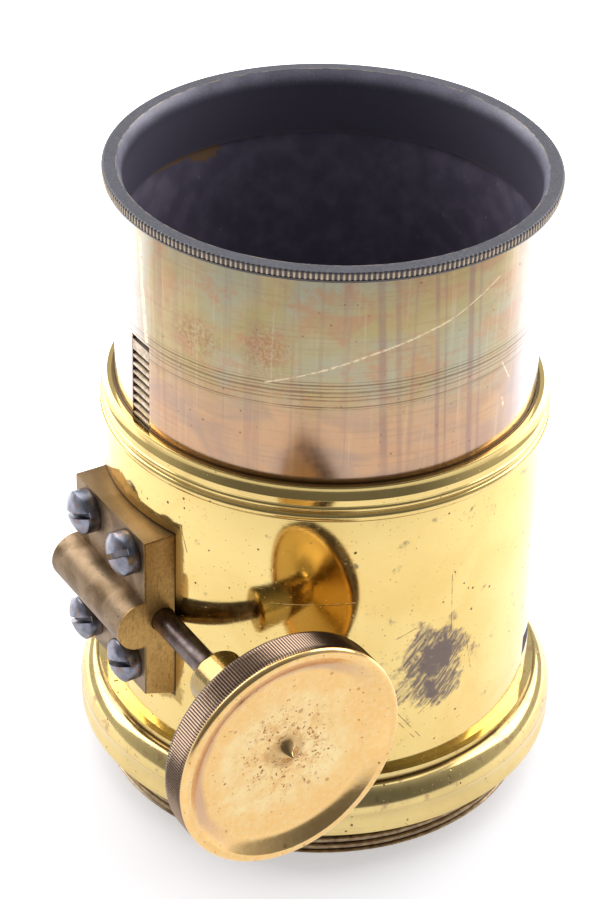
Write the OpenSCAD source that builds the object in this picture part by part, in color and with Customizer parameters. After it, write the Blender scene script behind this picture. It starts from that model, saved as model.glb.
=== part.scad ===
// Antique brass camera lens with rack-and-pinion focusing.
// +Z runs along the optical axis towards the front of the lens.
// The origin is on the axis, at the rear edge of the mounting thread.
// The rack and the pinion are on the -X side, and the knob is at the -Y end.

/* [Overall] */
// Height of the front rim above the rear edge, focus at rest
front_z = 121.2; // [118:0.1:125]
// Smoothness of the round surfaces
smooth = 180; // [96:12:240]

/* [Draw tube] */
// Outer radius of the sliding tube
tube_r = 38.1; // [38:0.05:38.1]
// Wall thickness of the sliding tube
tube_wall = 1.2; // [1.1:0.1:1.3]
// Height of the tube's rear end
tube_bottom_z = 32; // [31:0.5:33]
// Radial clearance between the tube and its two guides
running_fit = 0.05; // [0.03:0.01:0.1]

/* [Front hood] */
// Outer radius of the knurled flange
rim_r = 40; // [39.5:0.1:41]
// Thickness of the flange
rim_t = 1.9; // [1.6:0.1:2.4]
// Number of knurls round the flange
rim_knurls = 280; // [160:10:300]
// Depth of the knurls on the flange
rim_knurl_depth = 0.22; // [0.1:0.02:0.3]
// Depth that the hood's sleeve reaches into the tube
hood_depth = 12.4; // [8:0.1:16]

/* [Barrel] */
// Outer radius of the barrel
barrel_r = 40.5; // [40.3:0.1:40.8]
// Wall thickness of the barrel
barrel_wall = 1.6; // [1.4:0.1:1.7]
// Height of the mouth ring's top
mouth_z = 79.7; // [79:0.1:81]
// Height of the mouth ring's visible moulding
mouth_h = 6.4; // [6.2:0.1:6.6]

/* [Base ring] */
// Largest radius of the base moulding
base_r = 45.5; // [45:0.1:46.5]
// Height of the moulding's top edge
base_top_z = 18.2; // [17.8:0.1:19]
// Height of the moulding's lower lip
base_low_z = 7.2; // [7:0.1:7.6]
// Radius of the mounting thread's crests
thread_r = 41.2; // [41:0.1:41.6]
// Pitch of the mounting thread
thread_pitch = 1.5; // [1.4:0.05:1.6]

/* [Stop slot] */
// Lower edge of the slot for a stop plate
slot_z = 24.8; // [24.7:0.1:26]
// Height of the slot
slot_h = 4.4; // [4.2:0.1:5]
// Half of the angle that the slot spans
slot_half_angle = 50; // [40:1:54]

/* [Rack and pinion] */
// Number of teeth on the pinion
pinion_teeth = 12; // [12:1:12]
// Teeth per inch of pitch diameter
diametral_pitch = 48; // [48:1:48]
// Height of the pinion's axis
pinion_z = 46; // [45:0.5:47]
// Radius of the pinion's shaft
shaft_r = 2.25; // [2:0.05:2.3]
// Width of the rack's toothed bar
rack_w = 5.7; // [5:0.1:5.8]
// Height of the rack's top end
rack_top_z = 95; // [90:0.5:96]

/* [Pinion housing] */
// Length of the housing along the shaft
housing_l = 25.5; // [25:0.5:27]
// Distance of the housing's outer face from the optical axis
housing_x = 44.5; // [44.3:0.1:45.2]
// Height of the housing's top
housing_top_z = 63.5; // [63:0.5:65]
// Radius of the half-round boss over the pinion
boss_r = 4.85; // [4.7:0.05:5]
// Diameter of a screw's head
screw_head_d = 8.2; // [7:0.1:8.4]

/* [Focus knob] */
// Radius of the knob
knob_r = 21.1; // [18:0.1:21.5]
// Distance of the knob's front plane from the optical axis
knob_front_y = 57.2; // [56:0.1:60]
// Width of the knob's edge
knob_t = 6.4; // [6:0.1:7]
// Number of knurls round the knob
knob_knurls = 264; // [120:12:300]
// Radius of the hub behind the knob
hub_r = 5.3; // [4.5:0.1:6]

/* [Optics] */
// Radius of the front lenses
front_lens_r = 34.3; // [33.9:0.1:34.4]
// Height of the seat under the front lenses
front_seat_z = 57; // [57:0.1:58]
// Radius of the rear lenses
rear_lens_r = 33; // [32.6:0.1:33.1]

/* [Hidden] */

eps = 0.01;
reach = 100;                                  // longer than any wall to cut

tube_in = tube_r - tube_wall;
tube_top_z = front_z - rim_t;
guide_r = tube_r + running_fit;
barrel_in = barrel_r - barrel_wall;
barrel_bottom_z = 8;
barrel_top_z = mouth_z - mouth_h;

// Gear: the module, pitch radius and tooth heights follow the diametral pitch
tooth_pitch = PI * 25.4 / diametral_pitch;
pitch_r = pinion_teeth * 25.4 / diametral_pitch / 2;
pressure_angle = 20;
rack_addendum = 0.36;
rack_dedendum = 0.62;
pinion_addendum = 0.5;
pinion_dedendum = 0.48;
tooth_t = tooth_pitch / 2 - 0.1;              // thickness at the pitch line, with backlash
mesh_gap = 0.03;                              // extra distance between the pitch lines
rack_tip_x = tube_r - 0.15;
pitch_x = rack_tip_x - rack_addendum;
shaft_x = pitch_x + pitch_r + mesh_gap;
pinion_l = 5.3;
base_circle_r = pitch_r * cos(pressure_angle);
pinion_tip_r = pitch_r + pinion_addendum;
pinion_root_r = pitch_r - pinion_dedendum;

rack_bottom_z = tube_bottom_z + 0.3;
rack_land = 2;                                // plain end above the top tooth
rack_back_x = 35.3;
rack_flange_w = 8.8;
tube_slot_w = rack_w + 0.3;

bore_r = shaft_r + 0.05;
hollow_fit = 0.02;                            // between the housing's hollow and the barrel
relief_r = shaft_r + 0.12;
pinion_room_r = pinion_tip_r + 0.33;
pinion_room_l = pinion_l + 1.1;
housing_bottom_z = 30.7;
housing_slant = 2.4;                          // the lower face falls towards the barrel
housing_inner_x = 37.5;                       // inside the barrel's surface, before the hollow is cut
boss_x = housing_x + 0.5;
screw_y = 7.4;
screw_zs = [35.6, 58.9];
shank_r = 2;
hole_r = shank_r + 0.03;
screw_tip_x = 38.35;
// Turn of each screw's slot
screw_turns = [[28, 62], [-38, 16]];

knob_back_y = knob_front_y - knob_t;
shaft_end_y = knob_front_y - 3.4;
hub_end_y = 31;

notch_half_angle = slot_half_angle + 4;
notch_top_z = 54.4;
stop_screw_z = 41.5;
stop_screw_r = 1;
stop_screw_head_r = 1.9;
guide_ring_z = 50.5;
guide_ring_h = 6;

lens_land = 1.5;                              // flat rim of each lens face
lens_fit = 0.05;
keeper_w = 1.3;                               // how far a seat or ring reaches over a lens
front_cell_h = 12;
seat_h = 2;
flint_h = 8;
crown_edge_h = 0.8;
rear_cell_r = 34.8;
rear_cell_z = 1.2;
rear_flange_r = 37.4;
rear_flint_z = 6;
rear_spacer_z = 14;
rear_crown_z = 17.2;
rear_seat_z = 21.2;
rear_cell_top_z = 24.6;

// Half of a wedge about the +X axis, wide enough to cut any wall
module wedge(half_angle) {
    polygon([
        [0, 0],
        [reach * cos(half_angle), -reach * sin(half_angle)],
        [reach * 1.6, 0],
        [reach * cos(half_angle), reach * sin(half_angle)]
    ]);
}

// Plain ring between two radii
module ring(r_out, r_in, z, h) {
    translate([0, 0, z])
        difference() {
            cylinder(r = r_out, h = h, $fn = smooth);
            translate([0, 0, -1]) cylinder(r = r_in, h = h + 2, $fn = smooth);
        }
}

// Outline of a knurled disc: one point for each crest and each valley
module knurl_outline(r, depth, count) {
    polygon([
        for (i = [0 : 2 * count - 1])
            let (a = 180 * i / count, rr = r - (i % 2) * depth)
            [rr * cos(a), rr * sin(a)]
    ]);
}

// Cylinder along Y whose centre is on the pinion's axis
module on_shaft(r, y0, y1) {
    translate([-shaft_x, y1, pinion_z])
        rotate([90, 0, 0])
            cylinder(r = r, h = y1 - y0, $fn = smooth);
}

// Places a screw's parts at each of the housing's four holes
module at_screws() {
    for (i = [0, 1])
        for (j = [0, 1])
            translate([0, (2 * i - 1) * screw_y, screw_zs[j]])
                rotate([0, -90, 0])
                    rotate([0, 0, screw_turns[i][j]])
                        children();
}

module barrel_wall_2d() {
    translate([barrel_in, barrel_bottom_z])
        square([barrel_wall, barrel_top_z - barrel_bottom_z]);
}

// Main tube, with the pinion's window, the shaft's relief, the stop slot and the tapped holes
module outer_barrel() {
    color("gold")
    difference() {
        rotate_extrude($fn = smooth) barrel_wall_2d();
        on_shaft(relief_r, -housing_l, housing_l);
        translate([-barrel_r - 2, -pinion_room_l / 2, pinion_z - pinion_room_r])
            cube([6, pinion_room_l, 2 * pinion_room_r]);
        translate([0, 0, slot_z])
            linear_extrude(height = slot_h) wedge(slot_half_angle);
        at_screws()
            cylinder(r = hole_r, h = reach, $fn = 48);
    }
}

// Turned lip at the barrel's mouth: a flat lip, a cavetto and two beads, with a guiding sleeve
module mouth_ring() {
    body_r = barrel_r - 0.05;
    sleeve_down = 3.6;                        // reach of the sleeve into the barrel
    sleeve_up = mouth_h - 0.4;                // the sleeve ends under the lip
    upper_bead_r = 0.55;
    upper_bead_z = 2.55;                      // above the barrel's top
    lower_bead_r = 0.85;
    lower_bead_z = 0.9;
    cavetto_r = 5;
    cavetto_x = body_r + 4.1;
    cavetto_up = 0.7;                         // the cavetto's centre is above the lip
    throat_r = 0.55;                          // round inner edge of the lip
    chamfer = 0.6;
    color("gold")
    rotate_extrude($fn = smooth)
        difference() {
            union() {
                translate([guide_r, barrel_top_z - sleeve_down])
                    square([barrel_in - guide_r, sleeve_down + sleeve_up]);
                translate([guide_r, barrel_top_z]) square([body_r - guide_r, mouth_h]);
                translate([body_r - 0.15, barrel_top_z + upper_bead_z]) circle(r = upper_bead_r, $fn = 48);
                translate([body_r - 0.25, barrel_top_z + lower_bead_z]) circle(r = lower_bead_r, $fn = 48);
            }
            translate([cavetto_x, mouth_z + cavetto_up]) circle(r = cavetto_r, $fn = 96);
            translate([guide_r + 0.15, mouth_z + 0.35]) circle(r = throat_r, $fn = 48);
            translate([body_r - 0.55, mouth_z + 0.1]) rotate(45) square(chamfer, center = true);
        }
}

// Lower guide, soldered inside the barrel
module guide_ring() {
    color("goldenrod")
        ring(barrel_in, guide_r, guide_ring_z, guide_ring_h);
}

// Mounting thread as a row of crests and grooves
module thread_2d() {
    collar_r = 38.2;
    crest = thread_pitch * 0.45;
    depth = 0.75;
    mouth = 0.62;                             // half of a groove's width outside the crests
    floor_w = 0.16;                           // half of its width at the bottom
    runout_h = 0.8;
    difference() {
        translate([collar_r, 0]) square([thread_r - collar_r, base_low_z]);
        for (i = [0 : 3])
            translate([thread_r, crest + 0.5 * (thread_pitch - crest) + i * thread_pitch])
                polygon([[0.2, -mouth], [0.2, mouth], [-depth, floor_w], [-depth, -floor_w]]);
        translate([thread_r - 1, base_low_z - runout_h]) square([2, runout_h + 2 * eps]);
    }
}

// Moulded base: a fillet, a rounded shoulder, a shallow cavetto and a lip above the thread
module base_ring() {
    side_r = base_r - 0.1;                    // the straight side under the shoulder
    fillet_w = 1.35;                          // collar above the shoulder
    shoulder_r = 4.45;
    shoulder_z = base_low_z + 5.2;
    hollow_r = 5;
    hollow_depth = 0.35;
    hollow_z = base_low_z + 3.5;
    shelf_r = rear_cell_r + 0.1;
    shelf_z = 4;
    color("gold")
    rotate_extrude($fn = smooth)
        difference() {
            union() {
                translate([barrel_r, barrel_bottom_z - 1])
                    square([fillet_w, base_top_z - barrel_bottom_z + 1]);
                translate([barrel_r, base_low_z])
                    square([side_r - barrel_r, shoulder_z - base_low_z]);
                intersection() {
                    translate([base_r - 0.05 - shoulder_r, shoulder_z]) circle(r = shoulder_r, $fn = 96);
                    translate([barrel_r, shoulder_z - eps]) square(shoulder_r * 2);
                }
                translate([shelf_r, shelf_z])
                    square([barrel_r - shelf_r + 0.5, barrel_bottom_z - shelf_z]);
                thread_2d();
            }
            translate([side_r + hollow_r - hollow_depth, hollow_z]) circle(r = hollow_r, $fn = 180);
            translate([0, base_low_z])
                polygon([[side_r - 0.7, -0.1], [side_r + 0.3, -0.1], [side_r + 0.3, 0.9]]);
        }
}

// Cover of the pinion: a plate hollowed to the barrel, with a half-round boss
module pinion_housing() {
    color("peru")
    difference() {
        union() {
            translate([0, housing_l / 2, 0])
                rotate([90, 0, 0])
                    linear_extrude(height = housing_l)
                        polygon([
                            [-housing_x, housing_bottom_z],
                            [-housing_inner_x, housing_bottom_z - housing_slant],
                            [-housing_inner_x, housing_top_z],
                            [-housing_x, housing_top_z]
                        ]);
            translate([-boss_x, housing_l / 2, pinion_z])
                rotate([90, 0, 0])
                    cylinder(r = boss_r, h = housing_l, $fn = 96);
        }
        cylinder(r = barrel_r + hollow_fit, h = reach, $fn = smooth);
        on_shaft(bore_r, -housing_l, housing_l);
        on_shaft(pinion_room_r, -pinion_room_l / 2, pinion_room_l / 2);
        at_screws()
            cylinder(r = hole_r, h = reach, $fn = 48);
    }
}

// One slotted screw with a domed head, pointing along +Z from the optical axis
module screw() {
    head_r = screw_head_d / 2;
    wall_h = 2.5;
    dome_h = 1.5;
    dome_r = (head_r * head_r + dome_h * dome_h) / (2 * dome_h);
    translate([0, 0, screw_tip_x])
        cylinder(r = shank_r, h = housing_x - screw_tip_x + eps, $fn = 48);
    translate([0, 0, housing_x])
        difference() {
            union() {
                cylinder(r = head_r, h = wall_h, $fn = 72);
                intersection() {
                    translate([0, 0, wall_h + dome_h - dome_r]) sphere(r = dome_r, $fn = 96);
                    cylinder(r = head_r, h = wall_h + dome_h, $fn = 72);
                }
            }
            translate([-reach / 2, -0.55, wall_h - 0.2]) cube([reach, 1.1, 5]);
        }
}

module housing_screws() {
    color("lightslategray") at_screws() screw();
}

// Involute angle, in degrees, at radius r
function involute(r) = let (t = sqrt(max(0, pow(r / base_circle_r, 2) - 1))) t * 180 / PI - atan(t);

// Half of a tooth's angle at radius r
function half_tooth(r) =
    tooth_t / pitch_r * 90 / PI + involute(pitch_r) - involute(max(r, base_circle_r));

module pinion_outline() {
    steps = 5;
    radii = concat(
        [pinion_root_r],
        [for (i = [0 : steps]) base_circle_r + (pinion_tip_r - base_circle_r) * i / steps]
    );
    circle(r = pinion_root_r + eps, $fn = 72);
    for (k = [0 : pinion_teeth - 1])
        rotate(k * 360 / pinion_teeth)
            polygon(concat(
                [[0, 0]],
                [for (r = radii) [r * cos(half_tooth(r)), -r * sin(half_tooth(r))]],
                [for (i = [len(radii) - 1 : -1 : 0])
                    let (r = radii[i]) [r * cos(half_tooth(r)), r * sin(half_tooth(r))]]
            ));
}

// Steel arbor with the pinion cut in its middle
module pinion_shaft() {
    color("dimgray") {
        on_shaft(shaft_r, -shaft_end_y, housing_l / 2 - 0.2);
        translate([-shaft_x, pinion_l / 2, pinion_z])
            rotate([90, 0, 0])
                linear_extrude(height = pinion_l) pinion_outline();
    }
}

// Side view of the rack: x grows towards the tube's axis, teeth face the pinion
module rack_outline() {
    tan_pa = tan(pressure_angle);
    half_tip = tooth_t / 2 - rack_addendum * tan_pa;
    half_root = tooth_t / 2 + rack_dedendum * tan_pa;
    tip = -pitch_x - rack_addendum;
    root = -pitch_x + rack_dedendum;
    first = ceil((rack_bottom_z - pinion_z) / tooth_pitch + 0.1);
    last = floor((rack_top_z - rack_land - pinion_z) / tooth_pitch - 0.6);
    translate([root - eps, rack_bottom_z])
        square([-rack_back_x - root + eps, rack_top_z - rack_bottom_z]);
    for (i = [first : last])
        translate([0, pinion_z + (i + 0.5) * tooth_pitch])
            polygon([[root, -half_root], [tip, -half_tip], [tip, half_tip], [root, half_root]]);
    translate([tip, rack_top_z - rack_land])
        square([root - tip, rack_land]);
}

// Toothed bar in the tube's slot, with a flange soldered inside the tube
module rack() {
    color("tan") {
        translate([0, rack_w / 2, 0])
            rotate([90, 0, 0])
                linear_extrude(height = rack_w) rack_outline();
        intersection() {
            translate([-tube_r, -rack_flange_w / 2, rack_bottom_z])
                cube([tube_r - rack_back_x, rack_flange_w, rack_top_z - rack_bottom_z]);
            cylinder(r = tube_in, h = reach, $fn = smooth);
        }
    }
}

// Sliding tube, slotted for the rack and notched at the rear to pass a stop plate
module draw_tube() {
    color("burlywood")
    difference() {
        ring(tube_r, tube_in, tube_bottom_z, tube_top_z - tube_bottom_z);
        translate([-tube_r - 1, -tube_slot_w / 2, tube_bottom_z - 1])
            cube([4, tube_slot_w, rack_top_z + 1.1 - tube_bottom_z]);
        translate([0, 0, tube_bottom_z - 1])
            linear_extrude(height = notch_top_z - tube_bottom_z + 1) wedge(notch_half_angle);
        translate([0, 0, stop_screw_z])
            rotate([-90, 0, 0]) cylinder(r = stop_screw_r, h = reach, $fn = 32);
    }
}

// Screw in the tube's wall that meets the guide ring at full extension
module stop_screw() {
    color("slategray")
    translate([0, 0, stop_screw_z])
        rotate([-90, 0, 0]) {
            translate([0, 0, tube_in - 0.2]) cylinder(r = stop_screw_r, h = tube_wall + 0.7, $fn = 32);
            intersection() {
                translate([0, 0, tube_in - 1.1]) cylinder(r = stop_screw_head_r, h = 2, $fn = 32);
                rotate([90, 0, 0])
                    translate([0, 0, -5]) cylinder(r = tube_in, h = 10, $fn = smooth);
            }
        }
}

// Knurled flange and sleeve that close the front of the tube, with a bell-shaped mouth
module front_hood() {
    sleeve_in = 36.35;
    mouth_r = 37.4;
    flare_h = 3.2;
    flare_w = mouth_r - sleeve_in;
    flare_r = (flare_h * flare_h + flare_w * flare_w) / (2 * flare_w);
    lip_h = 0.45;
    color("darkslategray") {
        rotate_extrude($fn = smooth)
            difference() {
                union() {
                    translate([sleeve_in, front_z - hood_depth])
                        square([tube_in - sleeve_in, hood_depth]);
                    translate([sleeve_in, tube_top_z]) square([rim_r - 0.5 - sleeve_in, rim_t]);
                    translate([tube_in, tube_top_z]) square([rim_r - 0.15 - tube_in, lip_h]);
                }
                difference() {
                    translate([sleeve_in - 1, front_z - flare_h]) square([flare_w + 1, flare_h + 1]);
                    translate([sleeve_in + flare_r, front_z - flare_h]) circle(r = flare_r, $fn = 180);
                }
            }
        translate([0, 0, tube_top_z + lip_h])
            linear_extrude(height = rim_t - lip_h)
                difference() {
                    knurl_outline(rim_r, rim_knurl_depth, rim_knurls);
                    circle(r = rim_r - 0.6, $fn = smooth);
                }
    }
}

// Dished knob with a knurled edge, a centre point and a long hub
module focus_knob() {
    lip = 1.1;
    dish_r = 19.2;
    dish_depth = 2.2;
    bowl_r = (dish_r * dish_r + dish_depth * dish_depth) / (2 * dish_depth);
    back_recess = 1.2;
    point_base_y = knob_front_y - 3;
    point_r = 2.4;
    point_foot = 0.95;
    point_h = 3.2;
    point_tip_r = 0.2;
    hub_edge = 1.2;
    knurl_depth = 0.16;
    color("goldenrod")
    translate([-shaft_x, 0, pinion_z])
        rotate([90, 0, 0]) {
            rotate_extrude($fn = smooth)
                difference() {
                    union() {
                        difference() {
                            union() {
                                translate([0, knob_back_y]) square([knob_r - 0.3, knob_t - lip]);
                                translate([0, knob_front_y - lip - 0.1]) square([knob_r - lip, lip + 0.05]);
                                translate([knob_r - lip, knob_front_y - lip]) circle(r = lip, $fn = 48);
                            }
                            translate([0, knob_front_y - dish_depth + bowl_r]) circle(r = bowl_r, $fn = 720);
                            translate([0, knob_back_y - 1]) square([knob_r - 2.2, back_recess + 1]);
                        }
                        translate([0, point_base_y])
                            polygon([
                                [0, 0], [point_r, 0], [point_r, point_foot],
                                [point_tip_r, point_h], [0, point_h]
                            ]);
                        translate([0, hub_end_y + hub_edge])
                            square([hub_r, knob_back_y + back_recess + 0.3 - hub_end_y]);
                        translate([0, hub_end_y]) square([hub_r - hub_edge, hub_edge + 1]);
                        translate([hub_r - hub_edge, hub_end_y + hub_edge]) circle(r = hub_edge, $fn = 48);
                    }
                    translate([-reach, -reach]) square([reach, 3 * reach]);
                    translate([-1, hub_end_y - 1]) square([shaft_r + 1, shaft_end_y - hub_end_y + 1]);
                }
            translate([0, 0, knob_back_y + 0.3])
                linear_extrude(height = knob_t - lip - 0.6)
                    difference() {
                        knurl_outline(knob_r, knurl_depth, knob_knurls);
                        circle(r = knob_r - 0.8, $fn = smooth);
                    }
        }
}

// Lens between two spherical faces, each inside a flat land. Each curve is the height
// of the face's centre above its land, and is negative where the centre lies lower.
module lens(r, low_z, high_z, low_curve, high_curve) {
    face_r = r - lens_land;
    function ball(c) = (face_r * face_r + c * c) / (2 * abs(c));
    module ball_at(edge_z, c) {
        translate([0, edge_z + c - sign(c) * ball(c)]) circle(r = ball(c), $fn = 720);
    }
    module bulge(edge_z, c) {
        intersection() {
            ball_at(edge_z, c);
            translate([0, min(edge_z, edge_z + c) - (c > 0 ? 0.1 : 1)]) square([r, abs(c) + 1.1]);
        }
    }
    rotate_extrude($fn = smooth)
        intersection() {
            difference() {
                union() {
                    translate([0, low_z]) square([r, high_z - low_z]);
                    if (high_curve > 0) bulge(high_z, high_curve);
                    if (low_curve < 0) bulge(low_z, low_curve);
                }
                if (high_curve < 0) ball_at(high_z, high_curve);
                if (low_curve > 0) ball_at(low_z, low_curve);
            }
            translate([0, low_z - 10]) square([reach, high_z - low_z + 20]);
        }
}

// Cell of the front pair, cut away to clear the rack
module front_cell() {
    cell_z = front_seat_z - seat_h;
    gap = 0.1;
    color("dimgray")
    difference() {
        ring(tube_in, front_lens_r + lens_fit, cell_z, front_cell_h);
        translate([-tube_r, -rack_flange_w / 2 - gap, cell_z - 1])
            cube([tube_r - rack_back_x, rack_flange_w + 2 * gap, front_cell_h + 2]);
    }
    color("dimgray")
        ring(front_lens_r + 2 * lens_fit, front_lens_r - seat_h, cell_z, seat_h);
}

module front_flint_lens() {
    color("lightblue", 0.5) lens(front_lens_r, front_seat_z, front_seat_z + flint_h, 1.2, -5.5);
}

module front_crown_lens() {
    low_z = front_seat_z + flint_h;
    color("lightcyan", 0.5) lens(front_lens_r, low_z, low_z + crown_edge_h, -5.5, 4.2);
}

module front_retaining_ring() {
    low_z = front_seat_z + flint_h + crown_edge_h;
    high_z = front_seat_z - seat_h + front_cell_h;
    color("dimgray") ring(front_lens_r + lens_fit, front_lens_r - keeper_w, low_z, high_z - low_z);
}

// Cell of the rear pair; its top face is the seat for a stop plate
module rear_cell() {
    flange_h = 2.8;
    color("darkgoldenrod") {
        ring(rear_cell_r, rear_lens_r + lens_fit, rear_cell_z, rear_seat_z - rear_cell_z);
        ring(rear_cell_r, rear_lens_r - keeper_w, rear_seat_z - eps, rear_cell_top_z - rear_seat_z + eps);
        ring(rear_flange_r, rear_lens_r + lens_fit, rear_cell_z, flange_h);
    }
}

module rear_crown_lens() {
    color("lightcyan", 0.5) lens(rear_lens_r, rear_crown_z, rear_seat_z, 1.6, 2.4);
}

module rear_spacer_ring() {
    color("dimgray")
        ring(rear_lens_r, rear_lens_r - keeper_w, rear_spacer_z, rear_crown_z - rear_spacer_z);
}

module rear_flint_lens() {
    color("lightblue", 0.5) lens(rear_lens_r, rear_flint_z, rear_spacer_z, 2.5, -3.5);
}

module rear_retaining_ring() {
    low_z = rear_cell_z + 2;
    color("dimgray") ring(rear_lens_r, rear_lens_r - 2, low_z, rear_flint_z - low_z);
}

outer_barrel();
mouth_ring();
guide_ring();
base_ring();
pinion_housing();
housing_screws();
pinion_shaft();
focus_knob();
draw_tube();
rack();
stop_screw();
front_hood();
front_cell();
front_crown_lens();
front_flint_lens();
front_retaining_ring();
rear_cell();
rear_crown_lens();
rear_spacer_ring();
rear_flint_lens();
rear_retaining_ring();
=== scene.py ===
"""Antique brass camera lens with rack-and-pinion focusing: its looks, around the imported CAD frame."""
import math

import bmesh
import bpy
from mathutils import Matrix, Vector


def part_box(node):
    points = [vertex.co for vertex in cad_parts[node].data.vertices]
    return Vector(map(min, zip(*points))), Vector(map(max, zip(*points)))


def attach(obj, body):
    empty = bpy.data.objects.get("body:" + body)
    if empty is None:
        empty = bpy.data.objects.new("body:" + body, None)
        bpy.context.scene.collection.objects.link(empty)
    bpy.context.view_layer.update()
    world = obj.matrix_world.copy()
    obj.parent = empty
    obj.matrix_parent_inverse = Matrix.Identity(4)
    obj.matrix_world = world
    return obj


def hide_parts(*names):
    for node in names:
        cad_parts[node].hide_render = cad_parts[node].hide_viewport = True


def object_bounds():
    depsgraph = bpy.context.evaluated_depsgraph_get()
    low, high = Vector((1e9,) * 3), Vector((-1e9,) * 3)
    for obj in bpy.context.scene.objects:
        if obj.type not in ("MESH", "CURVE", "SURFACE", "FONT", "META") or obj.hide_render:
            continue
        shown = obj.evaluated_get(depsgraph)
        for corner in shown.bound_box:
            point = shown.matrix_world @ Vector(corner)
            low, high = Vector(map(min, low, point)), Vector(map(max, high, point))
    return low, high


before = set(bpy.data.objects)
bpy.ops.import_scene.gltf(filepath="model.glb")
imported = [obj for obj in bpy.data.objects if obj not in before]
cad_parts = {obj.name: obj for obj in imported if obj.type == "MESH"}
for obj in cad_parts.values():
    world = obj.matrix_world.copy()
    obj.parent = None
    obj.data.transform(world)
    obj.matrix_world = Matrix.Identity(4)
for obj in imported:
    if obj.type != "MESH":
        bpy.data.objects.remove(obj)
cad_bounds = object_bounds()

# ---------------------------------------------------------------- sizes, in millimetres

MM = 0.001


def heights(node):
    """Lowest and highest point of a CAD node."""
    low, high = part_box(node)
    return low.z / MM, high.z / MM


def outer_radius(node):
    """Largest distance of a CAD node's points from the optical axis."""
    reach = max(math.hypot(v.co.x, v.co.y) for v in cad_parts[node].data.vertices)
    return round(reach / MM, 2)


BARREL_LOW, BARREL_TOP = heights("outer_barrel")
BARREL_R = outer_radius("outer_barrel")
BARREL_WALL = 1.6
BARREL_IN = BARREL_R - BARREL_WALL
MOUTH_TOP = heights("mouth_ring")[1]
BASE_TOP = heights("base_ring")[1]
BASE_R = outer_radius("base_ring")
TUBE_LOW, TUBE_TOP = heights("draw_tube")
TUBE_R = outer_radius("draw_tube")
TUBE_WALL = 1.2
TUBE_IN = TUBE_R - TUBE_WALL
SLIDING_GAP = 0.05
GUIDE_R = TUBE_R + SLIDING_GAP
FRONT_Z = heights("front_hood")[1]
HOOD_LOW = heights("front_hood")[0]
RIM_R = outer_radius("front_hood")
MOUTH_R = 37.4
RACK_TOP = heights("rack")[1]
SHAFT_X = 40.795
PINION_Z = 46.0
SHAFT_R = 2.25
KNOB_R = 21.1
KNOB_FRONT = 57.2
HOUSING_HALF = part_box("pinion_housing")[1].y / MM
HOUSING_TOP = heights("pinion_housing")[1]
HOUSING_LOW = 30.7
HOUSING_X = 44.5
HOUSING_SLANT = 2.4
BOSS_R = 4.85
SCREW_Y = 7.4
SCREW_ZS = (35.6, 58.9)

# The camera stands on the knob's side, to the left of the rack's far end
CAMERA_AZIMUTH = -33.045
CAMERA_ELEVATION = 32.847
CAMERA_DISTANCE = 0.4929
CAMERA_TARGET = Vector((0, 0, 0.06164))
CAMERA_PAN = 0.583
CAMERA_ROLL = 1.766
CAMERA_LENS = 106.92


def direction(azimuth, elevation):
    """Unit vector from the object towards a point of the sky; azimuth 0 is -Y and 90 is +X."""
    a, e = math.radians(azimuth), math.radians(elevation)
    return Vector((math.sin(a) * math.cos(e), -math.cos(a) * math.cos(e), math.sin(e)))


# ---------------------------------------------------------------- meshes

def new_object(name, mesh, smooth_angle=32):
    """Links a mesh as a smooth-shaded object with its sharp edges marked."""
    mesh.shade_smooth()
    mesh.set_sharp_from_angle(angle=math.radians(smooth_angle))
    piece = bpy.data.objects.new(name, mesh)
    bpy.context.scene.collection.objects.link(piece)
    return piece


def closed_mesh(name, points, faces):
    """Mesh in metres from points in millimetres, with doubles merged and normals facing out."""
    mesh = bpy.data.meshes.new(name)
    mesh.from_pydata([tuple(c * MM for c in p) for p in points], [], faces)
    work = bmesh.new()
    work.from_mesh(mesh)
    bmesh.ops.remove_doubles(work, verts=work.verts, dist=1e-7)
    bmesh.ops.recalc_face_normals(work, faces=work.faces)
    work.to_mesh(mesh)
    work.free()
    return mesh


def arc(centre_r, centre_z, radius, start, end, steps):
    """Points along a circular arc, from one angle to another in degrees."""
    return [
        (centre_r + radius * math.cos(math.radians(start + (end - start) * i / steps)),
         centre_z + radius * math.sin(math.radians(start + (end - start) * i / steps)))
        for i in range(steps + 1)
    ]


def softened(outline, fillet, steps=3):
    """Closed outline whose corners sharper than 25 degrees are rounded off with a small fillet."""
    rounded = []
    for i, corner in enumerate(outline):
        here = Vector(corner)
        back = Vector(outline[i - 1]) - here
        on = Vector(outline[(i + 1) % len(outline)]) - here
        turn = math.pi - back.angle(on)
        if turn < math.radians(25) or here.x < 0.01:
            rounded.append(corner)
            continue
        half = math.tan(turn / 2)
        cut = min(fillet * half, back.length * 0.45, on.length * 0.45)
        first, last = here + back.normalized() * cut, here + on.normalized() * cut
        for s in range(steps + 1):
            t = s / steps
            point = first * (1 - t) ** 2 + here * 2 * t * (1 - t) + last * t ** 2
            rounded.append((point.x, point.y))
    return rounded


def lathe(name, outline, segments, shape=None, smooth_angle=32):
    """Turns a closed outline of (radius, height) about Z.

    shape(radius, height, angle) may move a point in or out.
    """
    rows = len(outline)
    points = []
    for k in range(segments):
        angle = 2 * math.pi * k / segments
        cos_a, sin_a = math.cos(angle), math.sin(angle)
        for radius, height in outline:
            r = shape(radius, height, angle) if shape else radius
            points.append((r * cos_a, r * sin_a, height))
    faces = []
    for k in range(segments):
        here, after = k * rows, (k + 1) % segments * rows
        for i in range(rows):
            j = (i + 1) % rows
            if outline[i][0] < 1e-6 and outline[j][0] < 1e-6:
                continue
            faces.append((here + i, after + i, after + j, here + j))
    return new_object(name, closed_mesh(name, points, faces), smooth_angle)


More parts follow.
